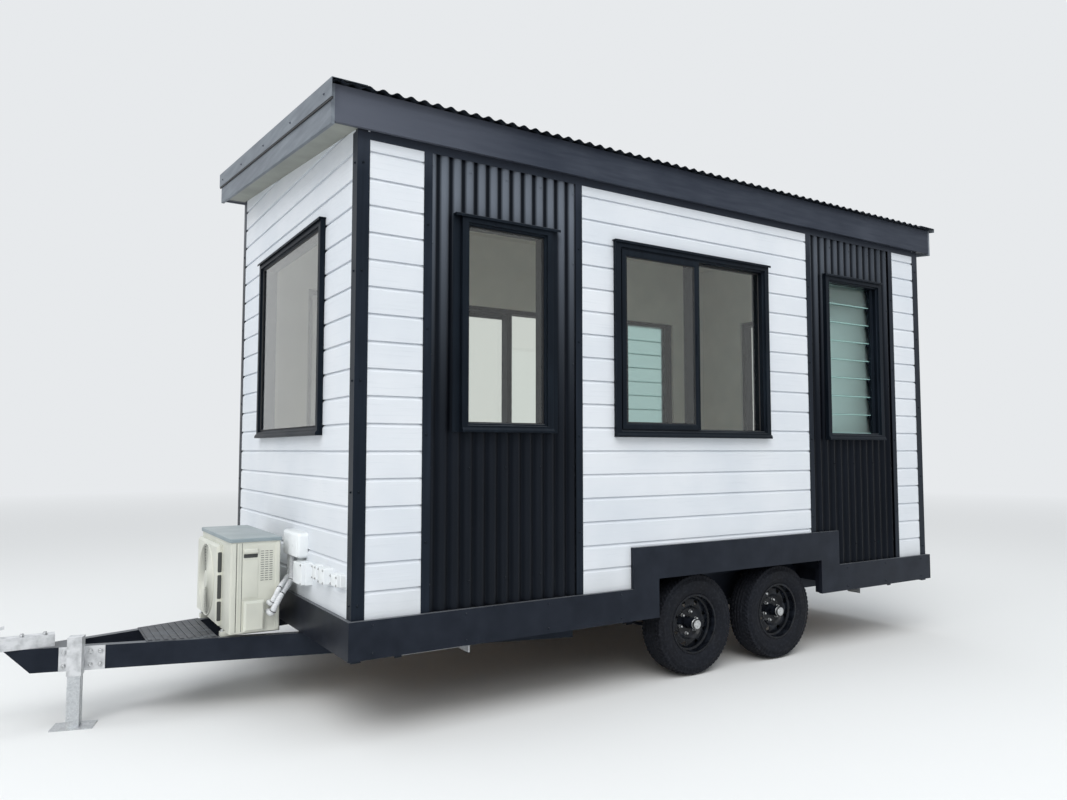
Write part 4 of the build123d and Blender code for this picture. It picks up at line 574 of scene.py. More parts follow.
def lay(name, parts, finish, body="trailer_house", stands_for=(), smooth=None):
    """Makes a Blender piece of some parts, gives it its finish, and lets it ride on its body.
    smooth is the angle in degrees up to which neighbouring faces are shaded as one curve."""
    points, groups = heap(parts)
    mesh = bpy.data.meshes.new(name)
    loops = np.concatenate([group.ravel() for group in groups]).astype(np.int32)
    lengths = np.concatenate([np.full(len(group), group.shape[1]) for group in groups])
    mesh.vertices.add(len(points))
    mesh.vertices.foreach_set("co", points.astype(np.float32).ravel())
    mesh.loops.add(len(loops))
    mesh.loops.foreach_set("vertex_index", loops)
    mesh.polygons.add(len(lengths))
    mesh.polygons.foreach_set("loop_start", (np.cumsum(lengths) - lengths).astype(np.int32))
    mesh.update(calc_edges=True)
    mesh.validate()
    if smooth is None:
        mesh.shade_flat()
    else:
        mesh.shade_smooth()
        mesh.set_sharp_from_angle(angle=math.radians(smooth))
    mesh.materials.append(finish.material)
    piece = put(name, mesh)
    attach(piece, body)
    if stands_for:
        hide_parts(*stands_for)
    shown_faces[name] = int((lengths - 2).sum())
    print(f"{name}: {shown_faces[name]} triangles")


# %% [markdown]
# ## Board cladding
#
# Each wall is clad with level boards whose face is flat and whose top edge is bevelled back into a narrow groove.
# From below the eye reads that as one dark line with a bright edge under it. So a wall is a sheet whose depth depends
# on height alone: zero over most of a board, then a short slope inwards, then a groove. Lines are added at the edges
# of each opening, and the cells inside an opening are simply left out.

# %% Section of the boards
bevel_height, bevel_depth = 0.018, 0.0115
groove_height, groove_depth, groove_wall = 0.0032, 0.0135, 0.0004
groove_from = board_height - groove_height
groove_levels = [groove_from, groove_from + groove_wall, board_height - groove_wall]
board_levels = np.array([0.0, groove_from - bevel_height, *groove_levels])
board_setback = np.array([0.0, 0.0, bevel_depth, groove_depth, groove_depth])


def lines_between(low, high, lines, holes, first):
    """Lines of a grid from low to high, with those added where holes start and end. first is 0 along the wall
    and 2 up it."""
    edges = [edge for hole in holes for edge in hole[first:first + 2] if low < edge < high]
    return np.unique(np.round([low, high, *lines, *edges], 6))


def solid_cells(along, levels, holes):
    """For every cell between the lines: True unless its middle lies in a hole."""
    u, z = (along[1:] + along[:-1]) / 2, ((levels[1:] + levels[:-1]) / 2)[:, None]
    kept = np.ones((len(z), len(u)), bool)
    for u0, u1, z0, z1 in holes:
        kept &= ~((z > z0) & (z < z1) & (u > u0) & (u < u1))
    return kept


def board_sheet(low_u, high_u, low_z, high_z, holes, place, columns=5, lid=None):
    """Boards from low_u to high_u along a wall. Over one board the set back is 0 up to the bevel, falls evenly to the
    bevel's depth, and then to the groove's. holes are (u0, u1, z0, z1) openings. place comes from facing. Points above
    the lid, a height for each u, are pressed down onto it, so a wall under the roof ends along the roof's slope."""
    count = int((high_z - board_edge) / board_height) + 2
    heights = (board_edge + board_height * np.arange(count)[:, None] + board_levels).ravel()
    levels = lines_between(low_z, high_z, heights[(heights > low_z) & (heights < high_z)], holes, 2)
    along = lines_between(low_u, high_u, np.linspace(low_u, high_u, columns), holes, 0)
    z, u = np.meshgrid(levels, along, indexing="ij")
    out = -np.broadcast_to(np.interp(levels, heights, np.tile(board_setback, count))[:, None], z.shape)
    kept = solid_cells(along, levels, holes)
    if lid is not None:
        below = z[:-1] < lid(u[:-1]) - 1e-5
        kept &= below[:, 1:] | below[:, :-1]
        z = np.minimum(z, lid(u))
    return sheet_of(place(u, out, z), place(u, np.full_like(u, -board_thickness), z), kept)


def facing(axis, face, sign):
    """Turns a face's own (u, out, z) into model space. The face looks along an axis, 0, 1 or 2, towards the sign, and
    lies at this place on it; out is added there, and u and z fill the other two axes in their order."""
    def place(u, out, z):
        spot = [u, z]
        spot.insert(axis, face + sign * out)
        return np.stack(spot, -1)
    return place


on_near, on_front, on_rear = facing(1, -half_width, -1), facing(0, front_x, -1), facing(0, rear_x, 1)

# %% Openings, read from the frames that stand in them
frame_lap, head_lap, head_sheet, flashing_width = 0.012, 0.010, 0.004, 0.045


def opening(box, flange, axis=0):
    """(u0, u1, z0, z1) of a frame without the flange at its sides and the sheet over its head."""
    low, high = box
    rect = (low[axis] + flange, high[axis] - flange, low.z, high.z - head_sheet)
    print("window or door", [round(v, 3) for v in rect])
    return rect


def shrunk(rect, margin):
    """A rectangle moved in on every side by a margin."""
    return rect[0] + margin, rect[1] - margin, rect[2] + margin, rect[3] - margin


fixed_rect = opening(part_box("fixed_window_frame"), flashing_width)
slide_rect = opening(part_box("sliding_window_frames"), head_lap)
louvre_rect = opening(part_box("louvre_window_frames"), head_lap)
door_rect = opening(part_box("entry_door_frame"), head_lap)
end_rect = opening(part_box("end_window_frames"), head_lap, axis=1)

# %% Boards on all four walls
panel_front = (from_front(0.382), from_front(1.384))
panel_rear = (from_front(3.432), from_front(4.445))
box_low, box_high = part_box("wheel_boxes")
wheel_gap = (box_low.x, box_high.x, 0.0, box_high.z)
wall_holes = [shrunk(slide_rect, frame_lap), wheel_gap]
stretches = ((front_x, panel_front[0]), (panel_front[1], panel_rear[0]), (panel_rear[1], rear_x))
for side, top in (("near", near_high.z), ("far", far_high.z - 0.002)):
    walls = [board_sheet(*stretch, board_edge, top, wall_holes, on_near) for stretch in stretches]
    walls = walls if side == "near" else [mirrored(wall) for wall in walls]
    lay(f"{side}_wall_boards", walls, boards, stands_for=[f"boards_{side}"])

end_low, end_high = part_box("end_boards")
wedge_from = roof_height(end_low.y, cladding_top)
end_hole, wedge_columns, end_parts = shrunk(end_rect, frame_lap), 50, []
for place in (on_front, on_rear):
    wedge = (end_low.y, end_high.y, wedge_from, end_high.z, [], place, wedge_columns)
    end_parts.append(board_sheet(end_low.y, end_high.y, board_edge, wedge_from, [end_hole], place))
    end_parts.append(board_sheet(*wedge, lambda y: roof_height(y, cladding_top)))
lay("end_wall_boards", end_parts, boards, stands_for=["end_boards"])

# %% [markdown]
# ## Corrugated steel
#
# Corrugated sheet is a sine wave rolled into thin steel. The solids carry it with six flats to a wave, which is
# enough for a check but shows its corners against the light. Here the same wave is worked out with twelve steps and
# shaded smooth. On the walls the waves stand upright between the trims. On the roof they run down the slope, and
# their ends make the toothed edge along both eaves.

# %% Upright waves on the walls
wave_steps = 12
wall_steel_half, roof_steel_half, wave_seat = 0.0004, 0.0005, 0.0005


def wave(x, start):
    """Distance of the sheet's middle off its seat: half the depth times (1 - cos), one turn for each pitch."""
    return wave_depth / 2 * (1 - np.cos(2 * math.pi * (x - start) / wave_pitch)) + wave_seat


def wave_lines(low, high, holes=()):
    """Places of the lines along a corrugated sheet, so many for each wave."""
    step = wave_pitch / wave_steps
    return lines_between(low, high, low + step * np.arange(math.floor((high - low) / step) + 1), holes, 0)


def wall_waves(low_x, high_x, high_z, holes):
    """Corrugated stretch of the near wall, with openings left out."""
    along = wave_lines(low_x, high_x, holes)
    levels = lines_between(board_edge, high_z, [], holes, 2)
    z, x = np.meshgrid(levels, along, indexing="ij")
    out = wave(x, low_x) - board_thickness
    faces = (on_near(x, out + wall_steel_half, z), on_near(x, out - wall_steel_half, z))
    return sheet_of(*faces, solid_cells(along, levels, holes))


near_waves_top = roof_height(-half_width, cladding_top) - 0.006
far_waves_top = roof_height(half_width, cladding_top) - 0.006
fixed_hole, louvre_hole = shrunk(fixed_rect, frame_lap), shrunk(louvre_rect, frame_lap)
door_hole = (door_rect[0] + frame_lap, door_rect[1] - frame_lap, 0.0, door_rect[3] - frame_lap)
wave_parts = [
    wall_waves(*panel_front, near_waves_top, [fixed_hole]),
    wall_waves(*panel_rear, near_waves_top, [louvre_hole, wheel_gap]),
    mirrored(wall_waves(*panel_front, far_waves_top, [door_hole])),
    mirrored(wall_waves(*panel_rear, far_waves_top, [louvre_hole, wheel_gap])),
]
lay("wall_corrugation", wave_parts, dark_sheet, stands_for=["corrugated_panels"], smooth=50)

# %% Waves down the roof
roof_low, roof_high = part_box("roof_sheet")
roof_y = np.linspace(roof_low.y, roof_high.y, 7)
y_grid, x_grid = np.meshgrid(roof_y, wave_lines(roof_low.x, roof_high.x), indexing="ij")


def roof_skin(off):
    """Points of the roof sheet at off metres above its middle."""
    return np.stack([x_grid, y_grid, roof_height(y_grid, wave(x_grid, roof_low.x) + off)], -1)


roof_kept = np.ones((y_grid.shape[0] - 1, y_grid.shape[1] - 1), bool)
roof_part = sheet_of(roof_skin(roof_steel_half), roof_skin(-roof_steel_half), roof_kept)
lay("roof_corrugation", [roof_part], roof_steel, stands_for=["roof_sheet"], smooth=50)

# %% [markdown]
# ## Window and door frames
#
# Each frame is an aluminium section mitred round a rectangle. The section shows why it looks the way it does: a wide
# flat face that stands proud of the cladding, a small step down to the glazing line, and a tube that runs back
# through the wall. It's drawn once as a closed profile of (distance in from the outer edge, distance out from the
# wall) and carried round the four corners. A folded flashing over the head and a sill nose below are plain profiles
# carried along a line.

# %% Profiles carried round a rectangle and along a bar
bar_width, stand, reach_back = 0.050, 0.030, 0.085
tube_lap = frame_lap + 0.0005
frame_section = np.array([
    (0.0, 0.0), (0.0, stand - 0.0025), (0.0008, stand - 0.0008), (0.0025, stand), (0.036, stand),
    (0.0375, stand - 0.0015), (0.0380, 0.017), (0.0395, 0.0155), (0.0465, 0.0145), (0.0485, 0.0125),
    (bar_width, 0.010), (bar_width, -reach_back), (tube_lap, -reach_back), (tube_lap, 0.0),
])
head_section = np.array([
    (0.0, 0.0), (0.0, stand), (-0.012, stand + 0.0105), (-0.012, stand + 0.012), (0.001, stand + 0.0120),
    (head_sheet, stand + 0.0095), (head_sheet, 0.0),
])
sill_section = np.array([
    (0.0, stand), (0.0, stand + 0.0095), (0.002, stand + 0.012), (0.012, stand + 0.0115),
    (bar_width / 2, stand + 0.004), (bar_width / 2, stand),
])


def ring_round(rect, section, place):
    """A closed section mitred round a rectangle. At each corner the section's inset moves the point in along both
    directions at once, which is what makes the mitre."""
    u0, u1, z0, z1 = rect
    inset, out = section[:, 0], section[:, 1]
    u = np.stack([u0 + inset, u1 - inset, u1 - inset, u0 + inset])
    z = np.stack([z0 + inset, z0 + inset, z1 - inset, z1 - inset])
    return skin(place(u, np.broadcast_to(out, u.shape), z), wrap_rows=True, wrap_columns=True)


def bar_along(section, low_u, high_u, place, z0=0.0):
    """A closed section of (height, distance out) run level from low_u to high_u, with closed ends."""
    u = np.stack([np.full(len(section), low_u), np.full(len(section), high_u)])
    height, out = (np.broadcast_to(section[:, column], u.shape) for column in (0, 1))
    return skin(place(u, out, z0 + height), wrap_columns=True, caps=True)


def post_up(section, low_z, high_z, place, u0=0.0):
    """A closed section of (distance along, distance out) run upright: a bar with the wall's two directions swapped."""
    return bar_along(section, low_z, high_z, lambda z, out, u: place(u, out, z), u0)


def frame_with_flashing(rect, place, sill=True):
    """Mitred frame, the folded flashing over its head, and the nose along its sill."""
    parts = [ring_round(rect, frame_section, place)]
    parts.append(bar_along(head_section, rect[0] - head_lap, rect[1] + head_lap, place, rect[3]))
    if sill:
        parts.append(bar_along(sill_section, rect[0], rect[1], place, rect[2]))
    return parts


# %% Seals round the panes
fixed_glass, end_glass, sash_glass, inner_glass = -0.003, 0.010, 0.013, -0.025
seal_section = np.array([(0.0, 0.0), (0.0, 0.0035), (0.0015, 0.005), (0.0045, 0.004), (0.006, 0.0015), (0.006, 0.0)])


def seal_at(rect, out, place):
    """Rubber bead round a pane, standing on the glass at this distance out from the wall."""
    return ring_round(rect, seal_section + [0.0, out], place)


# %% Fixed window, end windows
fold = 0.0015
side_flashing = np.array([
    (0.0, 0.0), (0.0, 0.0045), (fold, 0.006), (flashing_width - fold, 0.006), (flashing_width, 0.0045),
    (flashing_width, 0.0),
])
u0, u1, z0, z1 = fixed_rect
fixed_parts = frame_with_flashing(fixed_rect, on_near)
for start, head_from in ((u0 - flashing_width, u0 - flashing_width), (u1, u1 + head_lap)):
    fixed_parts.append(post_up(side_flashing, z0, z1, on_near, start))
    fixed_parts.append(bar_along(head_section, head_from, head_from + flashing_width - head_lap, on_near, z1))
lay("fixed_frame", fixed_parts, frame_coat, stands_for=["fixed_window_frame"])
seals = [seal_at(shrunk(fixed_rect, bar_width), fixed_glass, on_near)]

end_frames = []
for place in (on_front, on_rear):
    end_frames += frame_with_flashing(end_rect, place)
    seals.append(seal_at(shrunk(end_rect, bar_width), end_glass, place))
lay("end_frames", end_frames, frame_coat, stands_for=["end_window_frames"])

# %% Sliding window: its sash rides in the left half, in front of the middle post
mullion_half, post_edge, post_depth = 0.025, 0.002, -0.004
sash_bar, sash_depth, sash_face = 0.038, 0.024, 0.022
sash_section = np.array([
    (0.0, 0.0), (0.0, -sash_depth), (sash_bar, -sash_depth), (sash_bar, -0.006), (sash_bar - 0.002, -0.003),
    (sash_bar - 0.008, -0.0015), (sash_bar - 0.010, 0.0), (0.0015, 0.0),
]) + [0.0, sash_face]
half_post = np.array([
    (-mullion_half, -reach_back), (-mullion_half, post_depth), (-mullion_half + post_edge, sash_face - sash_depth),
])
post = np.concatenate([half_post, half_post[::-1] * [-1, 1]])
handle = np.array([
    (0.0, 0.0), (0.0, 0.005), (0.0032, 0.007), (0.0096, 0.007), (0.0128, 0.005), (0.0128, 0.0)
]) + [0.0, sash_face]
handle_from, handle_half = 0.030, 0.07
middle = (slide_rect[0] + slide_rect[1]) / 2
inner_u0, inner_u1, inner_z0, inner_z1 = shrunk(slide_rect, bar_width)
handle_z = (inner_z0 + inner_z1) / 2
sash_rect = (inner_u0, middle + sash_bar / 2, inner_z0, inner_z1)
slide_parts = frame_with_flashing(slide_rect, on_near) + [
    post_up(post, inner_z0, inner_z1, on_near, middle),
    ring_round(sash_rect, sash_section, on_near),
    post_up(handle, handle_z - handle_half, handle_z + handle_half, on_near, sash_rect[1] - handle_from),
]
lay("sliding_frames", both_sides(slide_parts), frame_coat, stands_for=["sliding_window_frames"])
seals += both_sides([
    seal_at(shrunk(sash_rect, sash_bar), sash_glass, on_near),
    seal_at((middle + mullion_half, inner_u1, inner_z0, inner_z1), inner_glass, on_near),
])

# %% Louvre frame with its galleries and blade clips
blade_count, blade_width, blade_half_sheet, gallery, blade_set = 8, 0.150, 0.003, 0.040, 0.038
lean = math.radians(6.0)
blades_low, blades_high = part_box("louvre_blades")
blade_rise = blade_width * math.cos(lean) + 2 * blade_half_sheet * math.sin(lean)
blade_heights = np.linspace(blades_low.z + blade_rise / 2, blades_high.z - blade_rise / 2, blade_count)
channel = np.array([
    (0.0, -0.075), (0.0, -0.012), (0.002, -0.010), (0.010, -0.010), (0.012, -0.013), (0.022, -0.013),
    (0.024, -0.010), (0.038, -0.010), (gallery, -0.012), (gallery, -0.075),
])
clip_width, clip_rise = 0.018, (0.045, 0.062)
clip_out = 0.004 - blade_set - 0.5 * blade_width * math.sin(lean)
clip = np.array([
    (0.0, 0.0), (0.0, 0.010), (0.003, 0.013), (0.015, 0.013), (clip_width, 0.010), (clip_width, 0.0)
]) + [0.0, clip_out]
pane_left, pane_right, louvre_low, louvre_high = shrunk(louvre_rect, bar_width)
louvre_parts = frame_with_flashing(louvre_rect, on_near)
for start in (pane_left, pane_right - gallery):
    louvre_parts.append(post_up(channel, louvre_low, louvre_high, on_near, start))
inner_left, inner_right = pane_left + gallery, pane_right - gallery
for height in blade_heights:
    for start in (inner_left, inner_right - clip_width):
        louvre_parts.append(post_up(clip, height + clip_rise[0], height + clip_rise[1], on_near, start))


# %% Louvre blades
def leaned(section):
    """Section of (up the blade, out of its face), leaned so that the blade's foot stands out over the one below."""
    up, out = np.array(section).T
    turned_up, turned_out = up * math.cos(lean) + out * math.sin(lean), out * math.cos(lean) - up * math.sin(lean)
    return np.stack([turned_up, turned_out - blade_set], -1)


foot, sheet, bevel = -blade_width / 2, blade_half_sheet, 0.0015
edge_top = foot + 0.005
pane_section = leaned([(edge_top, -sheet), (-foot, -sheet), (-foot, sheet), (edge_top, sheet)])
edge_section = leaned([
    (edge_top, -sheet), (edge_top, sheet), (foot + bevel, sheet), (foot, bevel), (foot, -bevel), (foot + bevel, -sheet),
])
pane_parts = [bar_along(pane_section, inner_left, inner_right, on_near, height) for height in blade_heights]
edge_parts = [bar_along(edge_section, inner_left, inner_right, on_near, height) for height in blade_heights]
lay("blade_panes", both_sides(pane_parts), obscure_glass, stands_for=["louvre_blades"])
lay("blade_edges", both_sides(edge_parts), glass_edge)
lay("louvre_frames", both_sides(louvre_parts), frame_coat, stands_for=["louvre_window_frames"])
door_parts = [mirrored(part) for part in frame_with_flashing(door_rect, on_near, sill=False)]
lay("door_frame_face", door_parts, frame_coat)
lay("glazing_seals", seals, seal_rubber)

# %% [markdown]
# ## Tyres
#
# A tyre is one section turned about its axle, with the tread cut into it. The section runs from one bead over the
# crown to the other. Where it crosses the tread its radius also depends on the angle: four grooves run round the
# tyre, and short slots cut the ribs between them into blocks, staggered from rib to rib. The blocks are deepest at
# the shoulders, which gives the edge of the tyre its toothed outline. Low rings on the side wall keep it from
# looking like plain tube.

# %% One tyre as a function of angle and distance across
tyre_radius, tyre_width, hub_height = 0.325, 0.185, 0.325
steps_round, block_count = 264, 66
bead_radius, tread_half, tread_depth, shoulder_depth = 0.1785, 0.0815, 0.0065, 0.0035
drawn_half, drawn_radius = 0.094, 0.320
side_wall = np.array([
    (-0.072, 0.1785), (-0.0735, 0.192), (-0.080, 0.198), (-0.0865, 0.206), (-0.0905, 0.222), (-0.0928, 0.2245),
    (-0.0938, 0.240), (-0.0940, 0.256), (-0.0925, 0.266), (-0.0932, 0.2675), (-0.0932, 0.2715), (-0.0920, 0.273),
    (-0.0895, 0.286), (-0.0872, 0.2875), (-0.0858, 0.296),
])
groove_lines = ((-0.040, 0.0052), (-0.0135, 0.0040), (0.0135, 0.0040), (0.040, 0.0052))
groove_wander, wander_turns = 0.0018, 33
rib_start, rib_width, rib_stagger, slot_slant, shoulder_shift = 0.0135, 0.0267, 0.33, 9.0, 1.40
outer_rib, inner_slot_depth = 0.047, 0.55
tread_end, tread_fade, shoulder_from, shoulder_radius = 0.0860, 0.004, 0.0830, 0.288


def slot_at(count):
    """1 in a slot and 0 on a block, for a number that grows by one from slot to slot."""
    return np.clip((0.24 - np.abs(count % 1.0 - 0.5)) / 0.09, 0, 1)


def tyre_part():
    """Section points go once round the casing, and the angle once round the axle. The side wall is stretched from the
    size it's drawn at. On the tread the radius loses the groove depth where a smooth comb across or around says
    there's a groove, and at the shoulder the wall draws in by the same comb."""
    stretch = [tyre_width / 2 / drawn_half, (tyre_radius - bead_radius) / (drawn_radius - bead_radius)]
    wall = [0.0, bead_radius] + (side_wall - [0.0, bead_radius]) * stretch
    across = np.concatenate([[-tread_half], np.arange(-0.0780, 0.0781, 0.0026), [tread_half]])
    crown = tyre_radius - 0.0015 - 0.0105 * np.abs(across / tread_half) ** 3.2
    section_y = np.concatenate([wall[:, 0], across, -wall[::-1, 0]])
    section_r = np.concatenate([wall[:, 1], crown, wall[::-1, 1]])
    on_tread = np.repeat([0.0, 1.0, 0.0], [len(wall), len(across), len(wall)])
    angle = np.linspace(0, 2 * math.pi, steps_round, endpoint=False)
    y, turn = np.meshgrid(section_y, angle, indexing="xy")
    off = np.abs(y)
    radius = np.broadcast_to(section_r, y.shape)
    grooves = np.zeros_like(y)
    wander = groove_wander * np.sin(wander_turns * turn)
    for centre, width in groove_lines:
        grooves = np.maximum(grooves, np.clip(1.6 - np.abs(y - centre - wander) / width, 0, 1))
    rib = np.floor((off + rib_start) / rib_width)
    count = block_count * turn / (2 * math.pi) + 0.5 * (y > 0)
    slots = slot_at(count + rib_stagger * rib + slot_slant * off) * np.where(off > outer_rib, 1.0, inner_slot_depth)
    depth = np.maximum(grooves, slots) * np.clip((tread_end - off) / tread_fade, 0, 1)
    radius = radius - tread_depth * depth * on_tread
    shoulder = (off > shoulder_from) & (radius > shoulder_radius)
    y = np.where(shoulder, y - np.sign(y) * shoulder_depth * slot_at(count + shoulder_shift), y)
    return skin(np.stack([radius * np.sin(turn), y, radius * np.cos(turn)], -1), wrap_rows=True, wrap_columns=True)


tyre = tyre_part()
wheels = {}
for side in ("near", "far"):
    for axle in ("front", "rear"):
        low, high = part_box(f"tyre_{side}_{axle}")
        wheels[side, axle] = np.array([(low.x + high.x) / 2, (low.y + high.y) / 2, hub_height])
        lay(f"tyre_tread_{side}_{axle}", [moved(tyre, wheels[side, axle])], rubber,
            body=f"wheel_{side}_{axle}", stands_for=[f"tyre_{side}_{axle}"], smooth=34)

# %% [markdown]
# ## Spoked steel rims
#
# The wheel is two pressings welded together. The barrel is a plain turned section with a drop in its middle. The
# disc is the part with character: a dished plate with eight rounded three cornered windows. On a polar grid such
# windows would come out as steps, so the grid is bent to them: in each eighth of the circle the lines beside the
# window follow its edge, whose half width is a function of the radius, and the cells between them are left out.


# %% Turning a section about an axis, and copies of a small shape
def turned(section, sides, axis, closed=False, caps=True):
    """Section of (along the axis, radius) turned about X, Y or Z, which are axis 0, 1 and 2. A closed section joins
    its last point to its first; an open one gets flat ends unless caps is False."""
    section = np.asarray(section, float)
    angle = np.linspace(0, 2 * math.pi, sides, endpoint=False)
    along, turn = np.meshgrid(section[:, 0], angle, indexing="ij")
    radius = np.broadcast_to(section[:, 1:], turn.shape)
    points = np.stack([along, radius * np.cos(turn), radius * np.sin(turn)], -1)
    return skin(np.roll(points, axis, -1), wrap_rows=closed, wrap_columns=True, caps=caps and not closed)


def upright(section, sides):
    """Section of (radius, height) turned about Z, with flat ends."""
    return turned(np.array(section)[:, ::-1], sides, 2)


def stamped(shape, places, aims, spin=0.0):
    """Copies of a small shape, drawn with its foot at the origin and pointing along +Z. Each copy stands at a place
    and points along its aim; spin turns it about that line, in radians."""
    points, groups = shape
    places, aims = np.asarray(places, float), np.broadcast_to(np.array(aims, float), np.shape(places))
    aims = aims / np.linalg.norm(aims, axis=1, keepdims=True)
    helper = np.where(np.abs(aims[:, 2:]) > 0.9, [[1.0, 0.0, 0.0]], [[0.0, 0.0, 1.0]])
    side = np.cross(helper, aims)
    side /= np.linalg.norm(side, axis=1, keepdims=True)
    first = math.cos(spin) * side + math.sin(spin) * np.cross(aims, side)
    axes = np.stack([first, np.cross(aims, first), aims], 1)
    copies = np.einsum("pk,nkc->npc", points, axes) + places[:, None, :]
    shift = (np.arange(len(places)) * len(points))[:, None, None]
    return copies.reshape(-1, 3), [(group[None] + shift).reshape(-1, group.shape[1]) for group in groups]


# %% The pressed disc
disc_face, disc_sheet, window_count = -0.0085, 0.0042, 8
window_inner, window_outer, window_half = 0.114, 0.148, 0.0215
window_share = np.array([0, 0.04, 0.10, 0.18, 0.30, 0.44, 0.58, 0.70, 0.79, 0.86, 0.91, 0.95, 0.98, 1.0])
disc_radii = np.concatenate([
    [0.030, 0.060, 0.086, 0.092, 0.098, 0.104, 0.109],
    window_inner + (window_outer - window_inner) * window_share, [0.152, 0.157, 0.1645],
])
dish_radii = [0.030, 0.084, 0.094, 0.110, 0.118, 0.150, 0.157, 0.1645]
dish_depths = [0, 0, -0.004, -0.021, -0.0235, -0.0185, -0.016, -0.013]
window_rise, window_round = 0.72, 9
press_depth, press_radius, press_width = 0.0022, 0.128, 0.016


def disc_part():
    """Dished disc with eight windows. The radius runs along rows, and each eighth of the circle has spoke cells, window
    cells and spoke cells again. Between the window's ends the line beside it lies at the window's half width, which
    rises along the window and closes in a rounded end."""
    radii, eighth = disc_radii, 2 * math.pi / window_count
    t = np.clip((radii - window_inner) / (window_outer - window_inner), 0, 1)
    half = window_half * t ** window_rise * np.sqrt(np.clip(1 - t ** window_round, 0, 1))
    half_share = np.maximum(np.arctan2(half, radii) / eighth, 0.03)[:, None]
    spoke_lines, window_lines = np.linspace(0, 1, 5), np.linspace(-1, 1, 8)[1:-1]
    left = spoke_lines * (0.5 - half_share)
    right = 0.5 + half_share + spoke_lines[:-1] * (0.5 - half_share)
    sector = np.concatenate([left, 0.5 + window_lines * half_share, right], 1)
    cells = sector.shape[1]
    turn = (np.arange(window_count)[:, None, None] + sector) * eighth
    turn = turn.transpose(1, 0, 2).reshape(len(radii), -1)
    swell = np.exp(-(((radii - press_radius) / press_width) ** 2))[:, None]
    press = press_depth * swell * np.cos(window_count * turn)
    y = disc_face + np.interp(radii, dish_radii, dish_depths)[:, None] - press
    outer = np.stack([radii[:, None] * np.sin(turn), y, radii[:, None] * np.cos(turn)], -1)
    rows = (radii[:-1] >= window_inner - 1e-6) & (radii[1:] <= window_outer + 1e-6)
    gap = (np.arange(cells) >= 4) & (np.arange(cells) < 11)
    return sheet_of(outer, outer + [0.0, disc_sheet, 0.0], ~(rows[:, None] & np.tile(gap, window_count)), wrap=True)


# %% Barrel, hub, cap and nuts
rim_half, drawn_rim_half = 0.0758, 0.0773
barrel_section = np.array([
    (-0.0723, 0.1893), (-0.0723, 0.1800), (-0.0715, 0.1777), (-0.0300, 0.1777), (-0.0220, 0.170), (-0.0180, 0.160),
    (0.0180, 0.160), (0.0220, 0.170), (0.0300, 0.1777), (0.0715, 0.1777), (0.0723, 0.1800), (0.0723, 0.1893),
    (0.0745, 0.1900), (0.0765, 0.1888), (0.0773, 0.1860), (0.0768, 0.1770), (0.0700, 0.1735), (0.0300, 0.1730),
    (0.0250, 0.166), (0.0200, 0.156), (-0.0200, 0.156), (-0.0250, 0.166), (-0.0300, 0.1730), (-0.0700, 0.1735),
    (-0.0768, 0.1770), (-0.0773, 0.1860), (-0.0765, 0.1888), (-0.0745, 0.1900),
])
barrel_section[:, 0] *= np.where(np.abs(barrel_section[:, 0]) > 0.06, rim_half / drawn_rim_half, 1.0)
hub_section = [
    (disc_face + 0.024, 0.0205), (disc_face + 0.024, 0.036), (disc_face - 0.006, 0.040), (disc_face - 0.012, 0.037),
    (disc_face - 0.018, 0.036), (-0.0775, 0.036), (-0.0797, 0.0350), (-0.0805, 0.0335), (-0.0805, 0.0205),
]
cap_section = [
    (-0.0800, 0.0), (-0.0800, 0.0325), (-0.0820, 0.0330), (-0.0835, 0.0315), (-0.0970, 0.0300), (-0.1000, 0.0285),
    (-0.1017, 0.0240), (-0.1023, 0.0150), (-0.1025, 0.0),
]
nut = upright([
    (0.0118, 0.0), (0.0118, 0.003), (0.0098, 0.0035), (0.0098, 0.016), (0.0085, 0.0190), (0.0060, 0.0215),
    (0.0020, 0.0228),
], 6)
bolt_circle = 0.0700
bolt_turns = math.radians(15) + np.arange(6) * math.pi / 3
nut_places = np.stack([bolt_circle * np.sin(bolt_turns), np.full(6, disc_face), bolt_circle * np.cos(bolt_turns)], -1)
rim_part = heap([turned(barrel_section, 96, 1, closed=True), disc_part(), turned(hub_section, 40, 1, closed=True)])
nuts_part = heap([turned(cap_section, 36, 1, caps=False), stamped(nut, nut_places, (0, -1, 0))])
for (side, axle), centre in wheels.items():
    body = f"wheel_{side}_{axle}"
    rim, nuts = [moved(part if side == "near" else mirrored(part), centre) for part in (rim_part, nuts_part)]
    lay(f"rim_disc_{side}_{axle}", [rim], rim_gloss,
        body=body, stands_for=[f"rim_{side}_{axle}"], smooth=34)
    lay(f"nuts_and_cap_{side}_{axle}", [nuts], nut_plate, body=body, smooth=30)

# %% [markdown]
# ## Screws
#
# Self drilling screws with a washer under a hexagon head hold every sheet and trim. They're tiny, yet their regular
# rows are what tells the eye that a dark strip is a folded trim and not a painted line. One head is a turned shape
# of a few dozen faces, and all the heads of one kind are copied in a single array step. They stand on the crests of
# the corrugated sheets, on both legs of the corner trims, along the cappings, and down the flat strips beside the
# panels.

# %% Screw heads and where they stand
screw = upright([
    (0.0076, 0.0), (0.0074, 0.0009), (0.0046, 0.0014), (0.0042, 0.0016), (0.0040, 0.0050), (0.0030, 0.0058)
], 8)
corner_trim, trim_sheet, strip_half = 0.065, 0.0025, 0.010


def grid_of(xs, ys, zs):
    """All places at these x, y and z, as one list."""
    x, y, z = np.meshgrid(np.atleast_1d(xs), np.atleast_1d(ys), np.atleast_1d(zs), indexing="ij")
    return np.stack([x.ravel(), y.ravel(), z.ravel()], -1)


